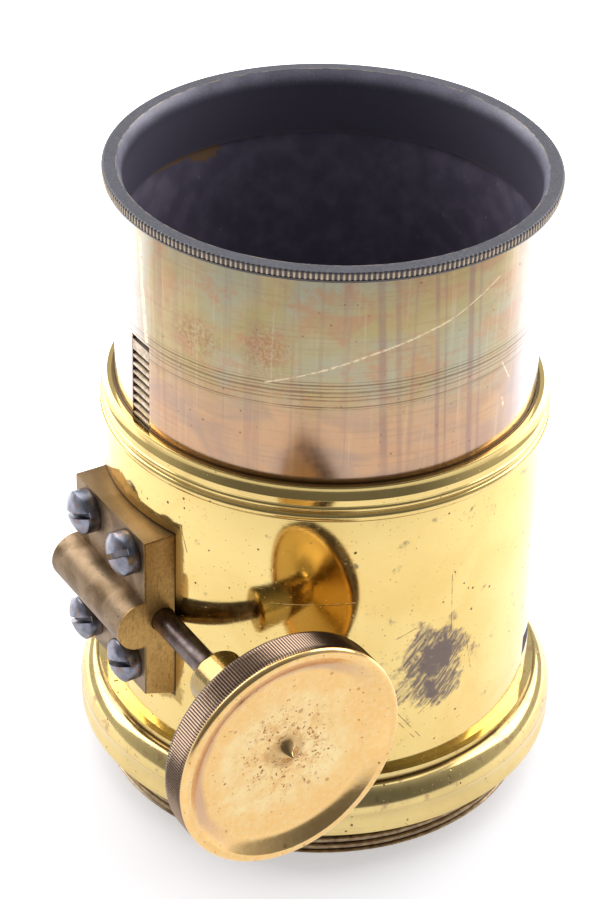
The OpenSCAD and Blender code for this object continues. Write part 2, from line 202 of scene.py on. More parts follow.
def cut_tube(name, outer, inner, low, high, cuts, segments=360):
    """Tube with openings, each (first angle, last angle, low, high), in degrees and millimetres."""
    angles = {360 * k / segments for k in range(segments)}
    levels = {low, high}
    for first, last, bottom, top in cuts:
        angles |= {first % 360, last % 360}
        levels |= {max(bottom, low), min(top, high)}
    angles, levels = sorted(angles), sorted(levels)
    columns = len(angles)

    def is_open(i, j):
        after = angles[i + 1] if i + 1 < columns else 360
        angle = (angles[i] + after) / 2
        height = (levels[j] + levels[j + 1]) / 2
        return any(
            (angle - first) % 360 < last - first and bottom < height < top
            for first, last, bottom, top in cuts
        )

    def index(side, i, j):
        return (side * columns + i % columns) * len(levels) + j

    points = [
        (radius * math.cos(math.radians(a)), radius * math.sin(math.radians(a)), z)
        for radius in (outer, inner) for a in angles for z in levels
    ]
    kept = {(i, j) for i in range(columns) for j in range(len(levels) - 1) if not is_open(i, j)}
    faces = []
    for i, j in sorted(kept):
        for side in (0, 1):
            corners = ((i, j), (i + 1, j), (i + 1, j + 1), (i, j + 1))
            faces.append([index(side, *corner) for corner in corners])
        edges = {
            ((i - 1) % columns, j): ((i, j), (i, j + 1)),
            ((i + 1) % columns, j): ((i + 1, j), (i + 1, j + 1)),
            (i, j - 1): ((i, j), (i + 1, j)),
            (i, j + 1): ((i, j + 1), (i + 1, j + 1)),
        }
        for beyond, (a, b) in edges.items():
            if beyond not in kept:
                faces.append([index(0, *a), index(0, *b), index(1, *b), index(1, *a)])
    return new_object(name, closed_mesh(name, points, faces))


def placed(piece, matrix):
    """Moves a piece's mesh, so that its object stays at the origin."""
    piece.data.transform(matrix)
    return piece


def baked(piece):
    """Applies a piece's modifiers to its mesh."""
    graph = bpy.context.evaluated_depsgraph_get()
    mesh = bpy.data.meshes.new_from_object(piece.evaluated_get(graph))
    piece.modifiers.clear()
    piece.data = mesh
    mesh.name = piece.name
    return piece


def drilled(piece, cutters):
    """Cuts closed meshes out of a piece."""
    for cutter in cutters:
        cut = piece.modifiers.new("cut", "BOOLEAN")
        cut.object = cutter
        cut.solver = "EXACT"
    baked(piece)
    for cutter in cutters:
        bpy.data.objects.remove(cutter)
    return piece


def worn_edges(piece, width, segments=3, angle=35):
    """Rounds a piece's sharp edges."""
    bevel = piece.modifiers.new("worn_edges", "BEVEL")
    bevel.width = width * MM
    bevel.segments = segments
    bevel.limit_method = "ANGLE"
    bevel.angle_limit = math.radians(angle)
    bevel.harden_normals = False
    baked(piece)
    piece.data.shade_smooth()
    piece.data.set_sharp_from_angle(angle=math.radians(40))
    return piece


def rod(name, radius, start, end, segments=64):
    """Closed cylinder between two heights, to cut with."""
    return lathe(name, [(0, start), (radius, start), (radius, end), (0, end)], segments)


def along_shaft():
    """Turns +Z to -Y and moves the origin onto the pinion's axis."""
    turn = Matrix.Rotation(math.radians(90), 4, "X")
    return Matrix.Translation((-SHAFT_X * MM, 0, PINION_Z * MM)) @ turn


# ---------------------------------------------------------------- shader steps

class Paint:
    """A node material. Positions are in millimetres in the object's own frame."""

    def __init__(self, name, metallic, roughness):
        self.material = bpy.data.materials.new(name)
        self.material.use_nodes = True
        self.tree = self.material.node_tree
        self.shader = self.tree.nodes["Principled BSDF"]
        self.shader.inputs["Metallic"].default_value = metallic
        self.feed(self.shader.inputs["Roughness"], roughness)
        self.place = self.stretch(self.add("ShaderNodeTexCoord").outputs["Object"], (1 / MM,) * 3)
        self.relief = []

    def add(self, kind, **settings):
        node = self.tree.nodes.new(kind)
        for key, value in settings.items():
            setattr(node, key, value)
        return node

    def feed(self, socket, value):
        if isinstance(value, bpy.types.NodeSocket):
            self.tree.links.new(value, socket)
        else:
            socket.default_value = value

    def step(self, kind, operation, values):
        node = self.add(kind, operation=operation)
        for socket, value in zip(node.inputs, values):
            self.feed(socket, value)
        return node.outputs

    def math(self, operation, *values):
        return self.step("ShaderNodeMath", operation, values)[0]

    def vector(self, operation, *values):
        """A vector step that gives a vector."""
        return self.step("ShaderNodeVectorMath", operation, values)["Vector"]

    def measure(self, operation, *values):
        """A vector step that gives a number."""
        return self.step("ShaderNodeVectorMath", operation, values)["Value"]

    def stretch(self, vector, factors):
        return self.vector("MULTIPLY", vector, factors)

    def shifted(self, vector, offset):
        return self.vector("ADD", vector, offset)

    def noise(self, scale, detail=3.0, stretch=(1, 1, 1), shift=0.0, distortion=0.0,
              vector=None, roughness=0.5):
        node = self.add("ShaderNodeTexNoise")
        place = self.stretch(vector or self.place, tuple(scale * s for s in stretch))
        self.feed(node.inputs["Vector"], self.shifted(place, (shift, shift * 0.7, shift * 1.3)))
        node.inputs["Scale"].default_value = 1.0
        node.inputs["Detail"].default_value = detail
        node.inputs["Roughness"].default_value = roughness
        node.inputs["Distortion"].default_value = distortion
        return node.outputs["Fac"]

    def band(self, value, low, high):
        """0 at low and 1 at high, smooth in between; low may be above high."""
        node = self.add("ShaderNodeMapRange", interpolation_type="SMOOTHSTEP")
        rising = low < high
        self.feed(node.inputs["Value"], value)
        self.feed(node.inputs["From Min"], low if rising else high)
        self.feed(node.inputs["From Max"], high if rising else low)
        self.feed(node.inputs["To Min"], 0.0 if rising else 1.0)
        self.feed(node.inputs["To Max"], 1.0 if rising else 0.0)
        return node.outputs["Result"]

    def spread(self, value, low, high):
        """Carries 0..1 to low..high."""
        return self.math("MULTIPLY_ADD", value, high - low, low)

    def dye(self, socket, colour):
        """Feeds a colour socket from a colour or from another step."""
        self.feed(socket, (*colour, 1.0) if isinstance(colour, tuple) else colour)

    def mix(self, share, first, second):
        """The first colour where the share is 0, and the second where it is 1."""
        node = self.add("ShaderNodeMix", data_type="RGBA")
        self.feed(node.inputs["Factor"], share)
        self.dye(node.inputs[6], first)
        self.dye(node.inputs[7], second)
        return node.outputs[2]

    def product(self, *values):
        total = values[0]
        for value in values[1:]:
            total = self.math("MULTIPLY", total, value)
        return total

    def most(self, *values):
        total = values[0]
        for value in values[1:]:
            total = self.math("MAXIMUM", total, value)
        return total

    def parts(self, vector):
        """The X, Y and Z parts of a vector."""
        node = self.add("ShaderNodeSeparateXYZ")
        self.feed(node.inputs[0], vector)
        return tuple(node.outputs)

    def part(self, axis):
        return self.parts(self.place)[axis]

    def radius(self):
        """Distance from the optical axis."""
        return self.measure("LENGTH", self.stretch(self.place, (1, 1, 0)))

    def gap(self, value, other):
        """How far apart two values are."""
        return self.math("ABSOLUTE", self.math("SUBTRACT", value, other))

    def uneven(self, value, pattern, reach):
        """A value moved up or down by up to the reach, where the pattern goes from 0 to 1."""
        return self.math("ADD", value, self.spread(pattern, -reach, reach))

    def unrolled(self, radius, facing=CAMERA_AZIMUTH):
        """(distance round the surface from the facing azimuth, height, 0)."""
        a = math.radians(facing)
        x, y, height = self.parts(self.place)
        side = self.math("MULTIPLY_ADD", x, math.cos(a), self.math("MULTIPLY", y, math.sin(a)))
        front = self.math("MULTIPLY_ADD", x, math.sin(a), self.math("MULTIPLY", y, -math.cos(a)))
        angle = self.math("ARCTAN2", side, front)
        flat = self.add("ShaderNodeCombineXYZ")
        self.feed(flat.inputs[0], self.math("MULTIPLY", angle, radius))
        self.feed(flat.inputs[1], height)
        return flat.outputs[0]

    def slanted(self, vector, degrees):
        """Turns an unrolled surface's coordinates, so that a stretched pattern runs at a slant."""
        node = self.add("ShaderNodeVectorRotate", rotation_type="Z_AXIS")
        self.feed(node.inputs["Vector"], vector)
        node.inputs["Angle"].default_value = math.radians(degrees)
        return node.outputs[0]

    def blot(self, flat, centre, half_width, half_height, edge):
        """1 inside an upright oval on an unrolled surface, fading to 0 at its edge."""
        moved = self.shifted(flat, (-centre[0], -centre[1], 0))
        distance = self.measure("LENGTH", self.stretch(moved, (1 / half_width, 1 / half_height, 0)))
        return self.band(distance, 1.0, 1.0 - edge)

    def stroke(self, flat, start, end, width):
        """1 along a straight stroke between two points of an unrolled surface."""
        span = Vector((*end, 0)) - Vector((*start, 0))
        offset = self.shifted(flat, (-start[0], -start[1], 0))
        share = self.add("ShaderNodeClamp")
        self.feed(share.inputs[0], self.measure("DOT_PRODUCT", offset, tuple(span / span.length_squared)))
        back = self.add("ShaderNodeVectorMath", operation="SCALE")
        back.inputs[0].default_value = tuple(-span)
        self.feed(back.inputs["Scale"], share.outputs[0])
        distance = self.measure("LENGTH", self.shifted(offset, back.outputs[0]))
        return self.band(distance, width, width * 0.3)

    def strokes(self, flat, *lines):
        """1 along any of several strokes, each given as (start, end, width)."""
        return self.most(*[self.stroke(flat, start, end, width) for start, end, width in lines])

    def coat(self, under, over, share, strength):
        """Lays one colour over another where the share is 1, at a given strength."""
        return self.mix(self.math("MULTIPLY", share, strength), under, over)

    def lacquer(self, weight, roughness):
        """Adds a clear coat."""
        self.shader.inputs["Coat Weight"].default_value = weight
        self.shader.inputs["Coat Roughness"].default_value = roughness

    def bump(self, height, depth):
        """Adds relief: height 0..1 stands for depth in millimetres."""
        self.relief.append((height, depth))

    def dent(self, share, depth):
        """Adds relief that sinks where the share is 1."""
        self.bump(self.math("SUBTRACT", 1.0, share), depth)

    def finish(self, colour, roughness=None):
        """Joins colour, roughness and relief to the shader."""
        self.dye(self.shader.inputs["Base Color"], colour)
        if roughness is not None:
            self.feed(self.shader.inputs["Roughness"], roughness)
        normal = None
        for height, depth in self.relief:
            node = self.add("ShaderNodeBump")
            node.inputs["Strength"].default_value = 1.0
            node.inputs["Distance"].default_value = depth * MM
            self.feed(node.inputs["Height"], height)
            if normal is not None:
                self.feed(node.inputs["Normal"], normal)
            normal = node.outputs[0]
        if normal is not None:
            self.feed(self.shader.inputs["Normal"], normal)
        return self.material


# ---------------------------------------------------------------- materials

BRASS = (0.86, 0.645, 0.235)
DEEP_BRASS = (0.76, 0.51, 0.14)
PALE_BRASS = (0.93, 0.79, 0.46)
BROWN_STAIN = (0.14, 0.075, 0.035)
DARK_PATINA = (0.10, 0.065, 0.045)


def pits(paint, scale, amount, shift=0.0):
    """Small round specks; amount is the share of cells that hold one."""
    cells = paint.add("ShaderNodeTexVoronoi")
    paint.feed(cells.inputs["Vector"], paint.shifted(paint.place, (shift, shift, shift)))
    cells.inputs["Scale"].default_value = scale
    chance = paint.add("ShaderNodeSeparateColor")
    paint.feed(chance.inputs[0], cells.outputs["Color"])
    chosen = paint.math("LESS_THAN", chance.outputs[0], amount)
    size = paint.spread(chance.outputs[1], 0.08, 0.34)
    core = paint.math("SUBTRACT", 1.0, paint.math("DIVIDE", cells.outputs["Distance"], size))
    return paint.product(chosen, paint.band(core, 0.0, 0.45))


def polished_brass(name, tone=BRASS, deep=DEEP_BRASS, roughness=0.09, pit_amount=0.05, marks=None):
    """Bright lacquered brass: soft mottling, turning lines, pits and fine scratches."""
    paint = Paint(name, 1.0, roughness)
    cloud = paint.band(paint.noise(0.07, 4.0, distortion=0.6), 0.35, 0.7)
    fine = paint.noise(0.9, 5.0, shift=11.0)
    colour = paint.coat(tone, deep, cloud, 0.55)
    colour = paint.coat(colour, PALE_BRASS, fine, 0.18)
    rings = paint.noise(3.0, 2.0, (0.012, 0.012, 1.0))
    hair = paint.band(paint.noise(5.0, 2.0, (0.04, 0.04, 1.0), 4.0), 0.62, 0.72)
    upright = paint.band(paint.noise(4.0, 2.0, (1.0, 1.0, 0.05), 7.0), 0.66, 0.74)
    colour = paint.coat(colour, DEEP_BRASS, hair, 0.12)
    specks = pits(paint, 0.9, pit_amount)
    dust = pits(paint, 2.6, pit_amount * 1.4, 5.0)
    dark = paint.most(specks, paint.product(dust, 0.8))
    colour = paint.coat(colour, BROWN_STAIN, dark, 0.8)
    rough = paint.spread(fine, roughness * 0.6, roughness * 1.5)
    rough = paint.most(rough, paint.product(dark, 0.5), paint.product(upright, 0.2))
    if marks:
        colour, rough = marks(paint, colour, rough)
    paint.bump(rings, 0.0025)
    paint.bump(hair, 0.0015)
    paint.dent(dark, 0.03)
    paint.lacquer(0.12, 0.1)
    return paint.finish(colour, rough)


def barrel_marks(paint, colour, rough):
    """Rubbed ink-like stain, scratches, and round the housing a painted shadow band and a line of dirt and
    painted shade.
    """
    flat = paint.unrolled(BARREL_R)
    wander = paint.noise(0.28, 5.0, shift=21.0, roughness=0.6)
    reach = paint.uneven(paint.blot(flat, (22.0, 39.4), 12.2, 14.5, 0.9), wander, 1.1)
    blot = paint.band(reach, 0.25, 0.62)
    heart = paint.band(reach, 0.6, 1.0)
    hatch = paint.noise(1.8, 3.0, (1.0, 0.14, 1), 3.0, vector=paint.slanted(flat, 38))
    streaks = paint.band(hatch, 0.36, 0.56)
    stain = paint.product(blot, paint.most(paint.spread(streaks, 0.25, 0.9), paint.product(heart, 0.95)))
    colour = paint.coat(colour, (0.13, 0.10, 0.112), stain, 0.97)
    rough = paint.most(rough, paint.product(stain, 0.4))
    scrape = paint.strokes(flat, *[
        (start, end, 0.14) for start, end in (
            ((-8.4, 55.3), (6.6, 56.2)), ((25.0, 58.0), (25.6, 46.0)), ((12.0, 33.0), (19.0, 24.0)),
            ((15.0, 31.0), (20.5, 23.5)), ((29.0, 44.0), (31.0, 35.0)), ((-26.0, 66.0), (-24.5, 61.0)),
            ((14.0, 47.0), (20.0, 49.5)), ((17.5, 27.5), (25.0, 33.5)),
        )
    ])
    broken = paint.band(paint.noise(0.8, 3.0, shift=31.0), 0.35, 0.55)
    scrape = paint.product(scrape, broken)
    nicks = paint.product(
        paint.band(paint.noise(1.6, 2.0, (1.0, 1.0, 0.5), 51.0), 0.68, 0.74),
        paint.band(paint.noise(0.12, 2.0, shift=57.0), 0.48, 0.62))
    marks = paint.most(scrape, paint.product(nicks, 0.75))
    colour = paint.coat(colour, BROWN_STAIN, marks, 0.7)
    gap = housing_distance(paint)
    # Painted shadow: a ragged brown band on the barrel round the housing's footprint.
    ragged = paint.uneven(gap, paint.noise(0.5, 4.0, shift=61.0), 1.8)
    painted_shadow = paint.band(ragged, 2.3, 1.2)
    colour = paint.coat(colour, (0.34, 0.205, 0.055), painted_shadow, 0.72)
    # Dirt and painted shade: a near-black line where the housing meets the barrel.
    dirt_and_contact_shade = paint.band(gap, 0.45, 0.15)
    colour = paint.coat(colour, (0.035, 0.022, 0.014), dirt_and_contact_shade, 0.9)
    rough = paint.most(rough, paint.product(painted_shadow, 0.3))
    paint.dent(marks, 0.02)
    return colour, rough


def housing_distance(paint):
    """Distance on the barrel from the edge of the pinion housing's footprint."""
    round_barrel, height, _ = paint.parts(paint.unrolled(BARREL_R, -90))
    half_arc = BARREL_R * math.asin(HOUSING_HALF / BARREL_R)
    middle = (HOUSING_TOP + HOUSING_LOW - HOUSING_SLANT) / 2
    across = paint.math("SUBTRACT", paint.math("ABSOLUTE", round_barrel), half_arc)
    above = paint.gap(height, middle)
    return paint.math("MAXIMUM", across, paint.math("SUBTRACT", above, HOUSING_TOP - middle))


def tarnished_tube(name):
    """Draw tube: thin rainbow tarnish in patches and streaks, rubbed rings and pale scratches, and a
    painted lavender sheen toward the sides seen edge-on from the camera.
    """
    paint = Paint(name, 1.0, 0.2)
    flat = paint.unrolled(TUBE_R)
    height = paint.part(2)
    tan = (0.48, 0.37, 0.19)
    orange = (0.47, 0.275, 0.145)
    blue_grey = (0.37, 0.375, 0.285)
    lilac = (0.28, 0.165, 0.145)
    olive = (0.43, 0.345, 0.135)
    cloud = paint.noise(0.075, 5.0, (1, 1, 1.6), 2.0, 0.8)
    cloud_b = paint.noise(0.11, 6.0, (1, 1, 1.5), 9.0, 0.5, roughness=0.62)
    cloud_c = paint.noise(0.055, 5.0, (1, 1, 0.9), 15.0, 0.7)
    colour = paint.mix(paint.band(cloud, 0.34, 0.66), tan, olive)
    colour = paint.coat(colour, blue_grey, paint.band(cloud_c, 0.38, 0.64), 0.8)
    mottle = paint.noise(0.9, 6.0, shift=19.0, roughness=0.7)
    patchy = paint.uneven(cloud_b, mottle, 0.2)
    colour = paint.coat(colour, orange, paint.band(patchy, 0.45, 0.68), 0.85)
    spots = paint.most(
        paint.blot(flat, (-23.4, 103.6), 7.0, 5.5, 0.8), paint.blot(flat, (-10.5, 104.5), 6.0, 7.0, 0.8))
    freckles = paint.band(paint.noise(1.5, 5.0, shift=23.0, roughness=0.75), 0.42, 0.58)
    spots = paint.product(spots, freckles, paint.spread(mottle, 0.3, 1.0))
    colour = paint.mix(spots, colour, (0.33, 0.15, 0.06))
    lower = paint.band(paint.uneven(height, cloud_b, 12.0), 100.0, 88.0)
    pinkish = paint.mix(paint.band(cloud, 0.4, 0.62), (0.58, 0.33, 0.185), (0.44, 0.27, 0.20))
    colour = paint.coat(colour, pinkish, lower, 0.8)
    brush = paint.noise(2.2, 3.0, (0.03, 0.03, 1.0), 6.0)
    grain = paint.noise(1.6, 3.0, (1.0, 1.0, 0.03), 8.0)
    colour = paint.coat(colour, (0.34, 0.22, 0.12), paint.band(brush, 0.5, 0.7), 0.28)
    colour = paint.coat(colour, (0.66, 0.52, 0.36), paint.band(grain, 0.55, 0.75), 0.28)
    colour = paint.coat(colour, lilac, upright_streaks(paint, flat), 0.75)
    # Painted sheen: pale lavender grey toward the tube's sides, away from the camera's azimuth.
    painted_limb_sheen_reach = paint.math("ABSOLUTE", paint.parts(flat)[0])
    colour = paint.coat(colour, (0.40, 0.385, 0.43), paint.band(painted_limb_sheen_reach, 31.0, 45.0), 0.65)
    rings = rubbed_rings(paint, flat)
    colour = paint.coat(colour, (0.17, 0.105, 0.05), rings, 0.8)
    bright = paint.strokes(
        flat,
        ((-10.1, 98.4), (-0.5, 101.7), 0.22), ((-0.5, 101.7), (8.0, 104.8), 0.3),
        ((8.0, 104.8), (22.2, 109.1), 0.3), ((22.2, 109.1), (32.0, 113.7), 0.2),
        ((-37.8, 116.0), (-37.0, 104.4), 0.65), ((-37.0, 106.4), (-35.8, 97.1), 0.8),
        ((-49.8, 98.6), (-40.9, 95.5), 0.4), ((-44.5, 97.4), (-34.7, 94.9), 0.35),
        ((34.5, 96.0), (37.0, 92.0), 0.2), ((35.2, 88.5), (35.8, 87.0), 0.4))
    ragged = paint.noise(1.3, 5.0, shift=13.0, roughness=0.7)
    bright = paint.product(bright, paint.band(ragged, 0.36, 0.54))
    colour = paint.coat(colour, (0.88, 0.69, 0.44), bright, 0.75)
    specks = pits(paint, 1.1, 0.08, 3.0)
    colour = paint.coat(colour, BROWN_STAIN, specks, 0.6)
    rough = paint.spread(mottle, 0.12, 0.28)
    paint.lacquer(0.4, 0.12)
    paint.shader.inputs["Coat IOR"].default_value = 1.6
    paint.bump(brush, 0.004)
    paint.dent(paint.most(rings, bright), 0.02)
    return paint.finish(colour, rough)


def upright_streaks(paint, flat):
    """Dark stripes down the tube, from where it was wiped: a few set ones and many faint ones."""
    stripes = [
        paint.product(paint.stroke(flat, (x, 80.0), (x - 2.0, 119.0), width), strength)
        for x, width, strength in (
            (10.6, 1.0, 0.8), (13.4, 0.7, 0.55), (20.4, 0.6, 0.75), (22.0, 0.35, 0.6),
            (27.2, 0.9, 0.9), (29.2, 0.5, 0.5), (-30.0, 0.6, 0.4), (-3.0, 0.5, 0.25),
        )
    ]
    faint = paint.band(paint.noise(0.5, 3.0, (1, 1, 0.02), 5.0), 0.54, 0.66)
    fade = paint.spread(paint.noise(0.1, 3.0, shift=47.0), 0.2, 1.3)
    fade = paint.uneven(fade, paint.noise(0.12, 2.0, shift=37.0), 0.5)
    return paint.product(paint.most(*stripes, paint.product(faint, 0.4)), fade)


# Height, half width and strength of each ring rubbed into the draw tube
RUBBED_RINGS = (
    (99.3, 0.12, 0.5), (98.7, 0.22, 0.9), (98.1, 0.14, 0.7), (97.4, 0.32, 0.9),
    (96.6, 0.14, 0.8), (95.9, 0.2, 0.7), (94.6, 0.16, 0.9), (94.2, 0.1, 0.5),
)


def rubbed_rings(paint, flat):
    """Dark and uneven rings that run round the tube at a slight tilt."""
    waver = paint.spread(paint.noise(0.04, 2.0, shift=27.0), -0.5, 0.5)
    round_tube, height, _ = paint.parts(flat)
    level = paint.math("SUBTRACT", height, paint.math("MULTIPLY_ADD", round_tube, 0.018, waver))
    rings = paint.most(*[
        paint.product(paint.band(paint.gap(level, ring), width, width * 0.25), strength)
        for ring, width, strength in RUBBED_RINGS
    ])
    broken = paint.band(paint.noise(0.16, 4.0, (1, 1, 3), 33.0), 0.3, 0.5)
    return paint.product(rings, paint.spread(broken, 0.35, 1.0))


def black_paint(name):
    """Matt black inside the tube and hood, thin and dusty in places, in greys painted lighter than black
    paint to stand in for light that hardly reaches inside.
    """
    paint = Paint(name, 0.0, 0.55)
    dust = paint.noise(0.25, 5.0, shift=3.0)
    fleck = pits(paint, 0.8, 0.03, 2.0)
    # Painted light: both greys are far lighter than black paint, in place of light that hardly reaches the
    # inside.
    colour = paint.mix(paint.band(dust, 0.35, 0.75), (0.15, 0.13, 0.185), (0.22, 0.195, 0.26))
    colour = paint.coat(colour, (0.36, 0.33, 0.36), fleck, 0.5)
    flat = paint.unrolled(TUBE_IN, CAMERA_AZIMUTH - 134)
    teeth = paint.noise(0.7, 4.0, (1.6, 1.6, 0.8), 71.0, roughness=0.65)
    chip = paint.most(
        paint.blot(flat, (-3.8, HOOD_LOW - 0.6), 5.2, 3.6, 0.9),
        paint.blot(flat, (4.0, HOOD_LOW), 11.0, 1.5, 0.9))
    chip = paint.band(paint.uneven(chip, teeth, 0.8), 0.3, 0.42)
    chip = paint.product(chip, paint.band(paint.part(2), HOOD_LOW + 0.02, HOOD_LOW - 0.05))
    colour = paint.mix(chip, colour, paint.mix(teeth, (0.42, 0.25, 0.12), (0.20, 0.12, 0.07)))
    paint.bump(paint.noise(1.6, 4.0, shift=6.0), 0.02)
    paint.shader.inputs["Specular IOR Level"].default_value = 0.4
    return paint.finish(colour, paint.spread(dust, 0.45, 0.65))


def blackened_brass(name):
    """Hood flange: slate-black paint, worn to brass on the knurls and along the mouth's edge, with a
    painted sheen on the flare and a painted lighter slate deep in the sleeve.
    """
    paint = Paint(name, 0.0, 0.4)
    radius = paint.radius()
    height = paint.part(2)
    worn_noise = paint.noise(0.5, 4.0, shift=4.0)
    cloud = paint.noise(0.2, 5.0, shift=12.0)
    black = paint.mix(cloud, (0.042, 0.04, 0.054), (0.082, 0.08, 0.102))
    speckle = paint.noise(2.4, 5.0, shift=29.0, roughness=0.7)
    black = paint.coat(black, (0.17, 0.168, 0.205), paint.band(speckle, 0.45, 0.7), 0.6)
    # Painted sheen: pale slate-lilac on the flare toward the mouth, mottled by the cloud and speckle.
    flare = paint.product(
        paint.band(height, FRONT_Z - 3.0, FRONT_Z - 0.7), paint.band(radius, MOUTH_R + 0.1, MOUTH_R - 0.15))
    sheen = paint.math("ADD", paint.spread(cloud, 0.0, 0.7), paint.spread(speckle, 0.0, 0.35))
    black = paint.mix(paint.product(flare, sheen), black, (0.44, 0.42, 0.54))
    # Painted light: deep in the sleeve the paint is a lighter slate than the flange, in place of light that
    # hardly reaches it.
    deep = paint.band(height, FRONT_Z - 1.2, FRONT_Z - 4.4)
    black = paint.coat(black, (0.1, 0.09, 0.125), deep, 0.97)
    joint = paint.band(paint.gap(height, HOOD_LOW + 0.25), 0.25, 0.08)
    black = paint.coat(black, (0.15, 0.13, 0.13), joint, 0.6)
    tips = paint.band(paint.uneven(radius, worn_noise, 0.05), RIM_R - 0.16, RIM_R - 0.02)
    side = paint.product(
        paint.band(radius, RIM_R - 0.5, RIM_R - 0.35), paint.band(height, FRONT_Z - 0.1, FRONT_Z - 0.35))
    black = paint.coat(black, (0.085, 0.065, 0.055), side, 0.7)
    edge = paint.product(
        paint.band(paint.gap(radius, MOUTH_R + 0.05), 0.16, 0.03),
        paint.band(height, FRONT_Z - 0.4, FRONT_Z - 0.1),
        paint.band(worn_noise, 0.42, 0.6))
    bare = paint.most(paint.product(tips, 0.85), paint.product(edge, 0.6))
    colour = paint.mix(bare, black, (0.60, 0.47, 0.33))
    paint.feed(paint.shader.inputs["Metallic"], bare)
    paint.bump(paint.noise(1.4, 4.0, shift=9.0), 0.012)
    paint.lacquer(0.25, 0.3)
    return paint.finish(colour, paint.spread(cloud, 0.3, 0.48))


def patinated_brass(name):
    """Housing: grey-brown patina, and a filed yellow near end with dark file marks and edges."""
    paint = Paint(name, 0.85, 0.4)
    cloud = paint.noise(0.16, 6.0, shift=7.0, distortion=0.5)
    fine = paint.noise(1.4, 6.0, shift=17.0, roughness=0.65)
    end_face = paint.band(paint.part(1), -HOUSING_HALF + 0.35, -HOUSING_HALF + 0.05)
    brown = paint.mix(paint.band(cloud, 0.36, 0.64), (0.155, 0.098, 0.048), (0.31, 0.215, 0.13))
    brown = paint.coat(brown, (0.36, 0.25, 0.16), paint.band(fine, 0.5, 0.75), 0.45)
    top_face = paint.band(paint.part(2), HOUSING_TOP - 0.5, HOUSING_TOP - 0.1)
    brown = paint.coat(brown, (0.20, 0.125, 0.045), top_face, 0.55)
    golden = paint.mix(paint.band(fine, 0.35, 0.7), (0.62, 0.39, 0.13), (0.48, 0.29, 0.10))
    colour = paint.mix(end_face, brown, golden)
    file_marks = paint.noise(3.2, 3.0, (1.0, 1.0, 0.14), 2.0)
    dark = paint.band(file_marks, 0.56, 0.68)
    colour = paint.coat(colour, (0.22, 0.13, 0.05), dark, 0.5)
    specks = pits(paint, 1.3, 0.2, 6.0)
    colour = paint.coat(colour, DARK_PATINA, specks, 0.75)
    depth = paint.math("MULTIPLY", paint.part(0), -1.0)
    border = paint.most(
        paint.band(depth, 38.6, 38.1), paint.band(depth, 44.0, 44.3),
        paint.band(paint.part(2), HOUSING_TOP - 0.55, HOUSING_TOP - 0.25))
    clear_of_boss = paint.band(paint.gap(paint.part(2), PINION_Z), 4.4, 4.9)
    border = paint.product(border, end_face, clear_of_boss, paint.spread(fine, 0.2, 1.3))
    colour = paint.coat(colour, DARK_PATINA, border, 0.75)
    rough = paint.spread(fine, 0.34, 0.52)
    paint.bump(file_marks, 0.015)
    paint.bump(cloud, 0.15)
    paint.dent(specks, 0.03)
    return paint.finish(colour, rough)


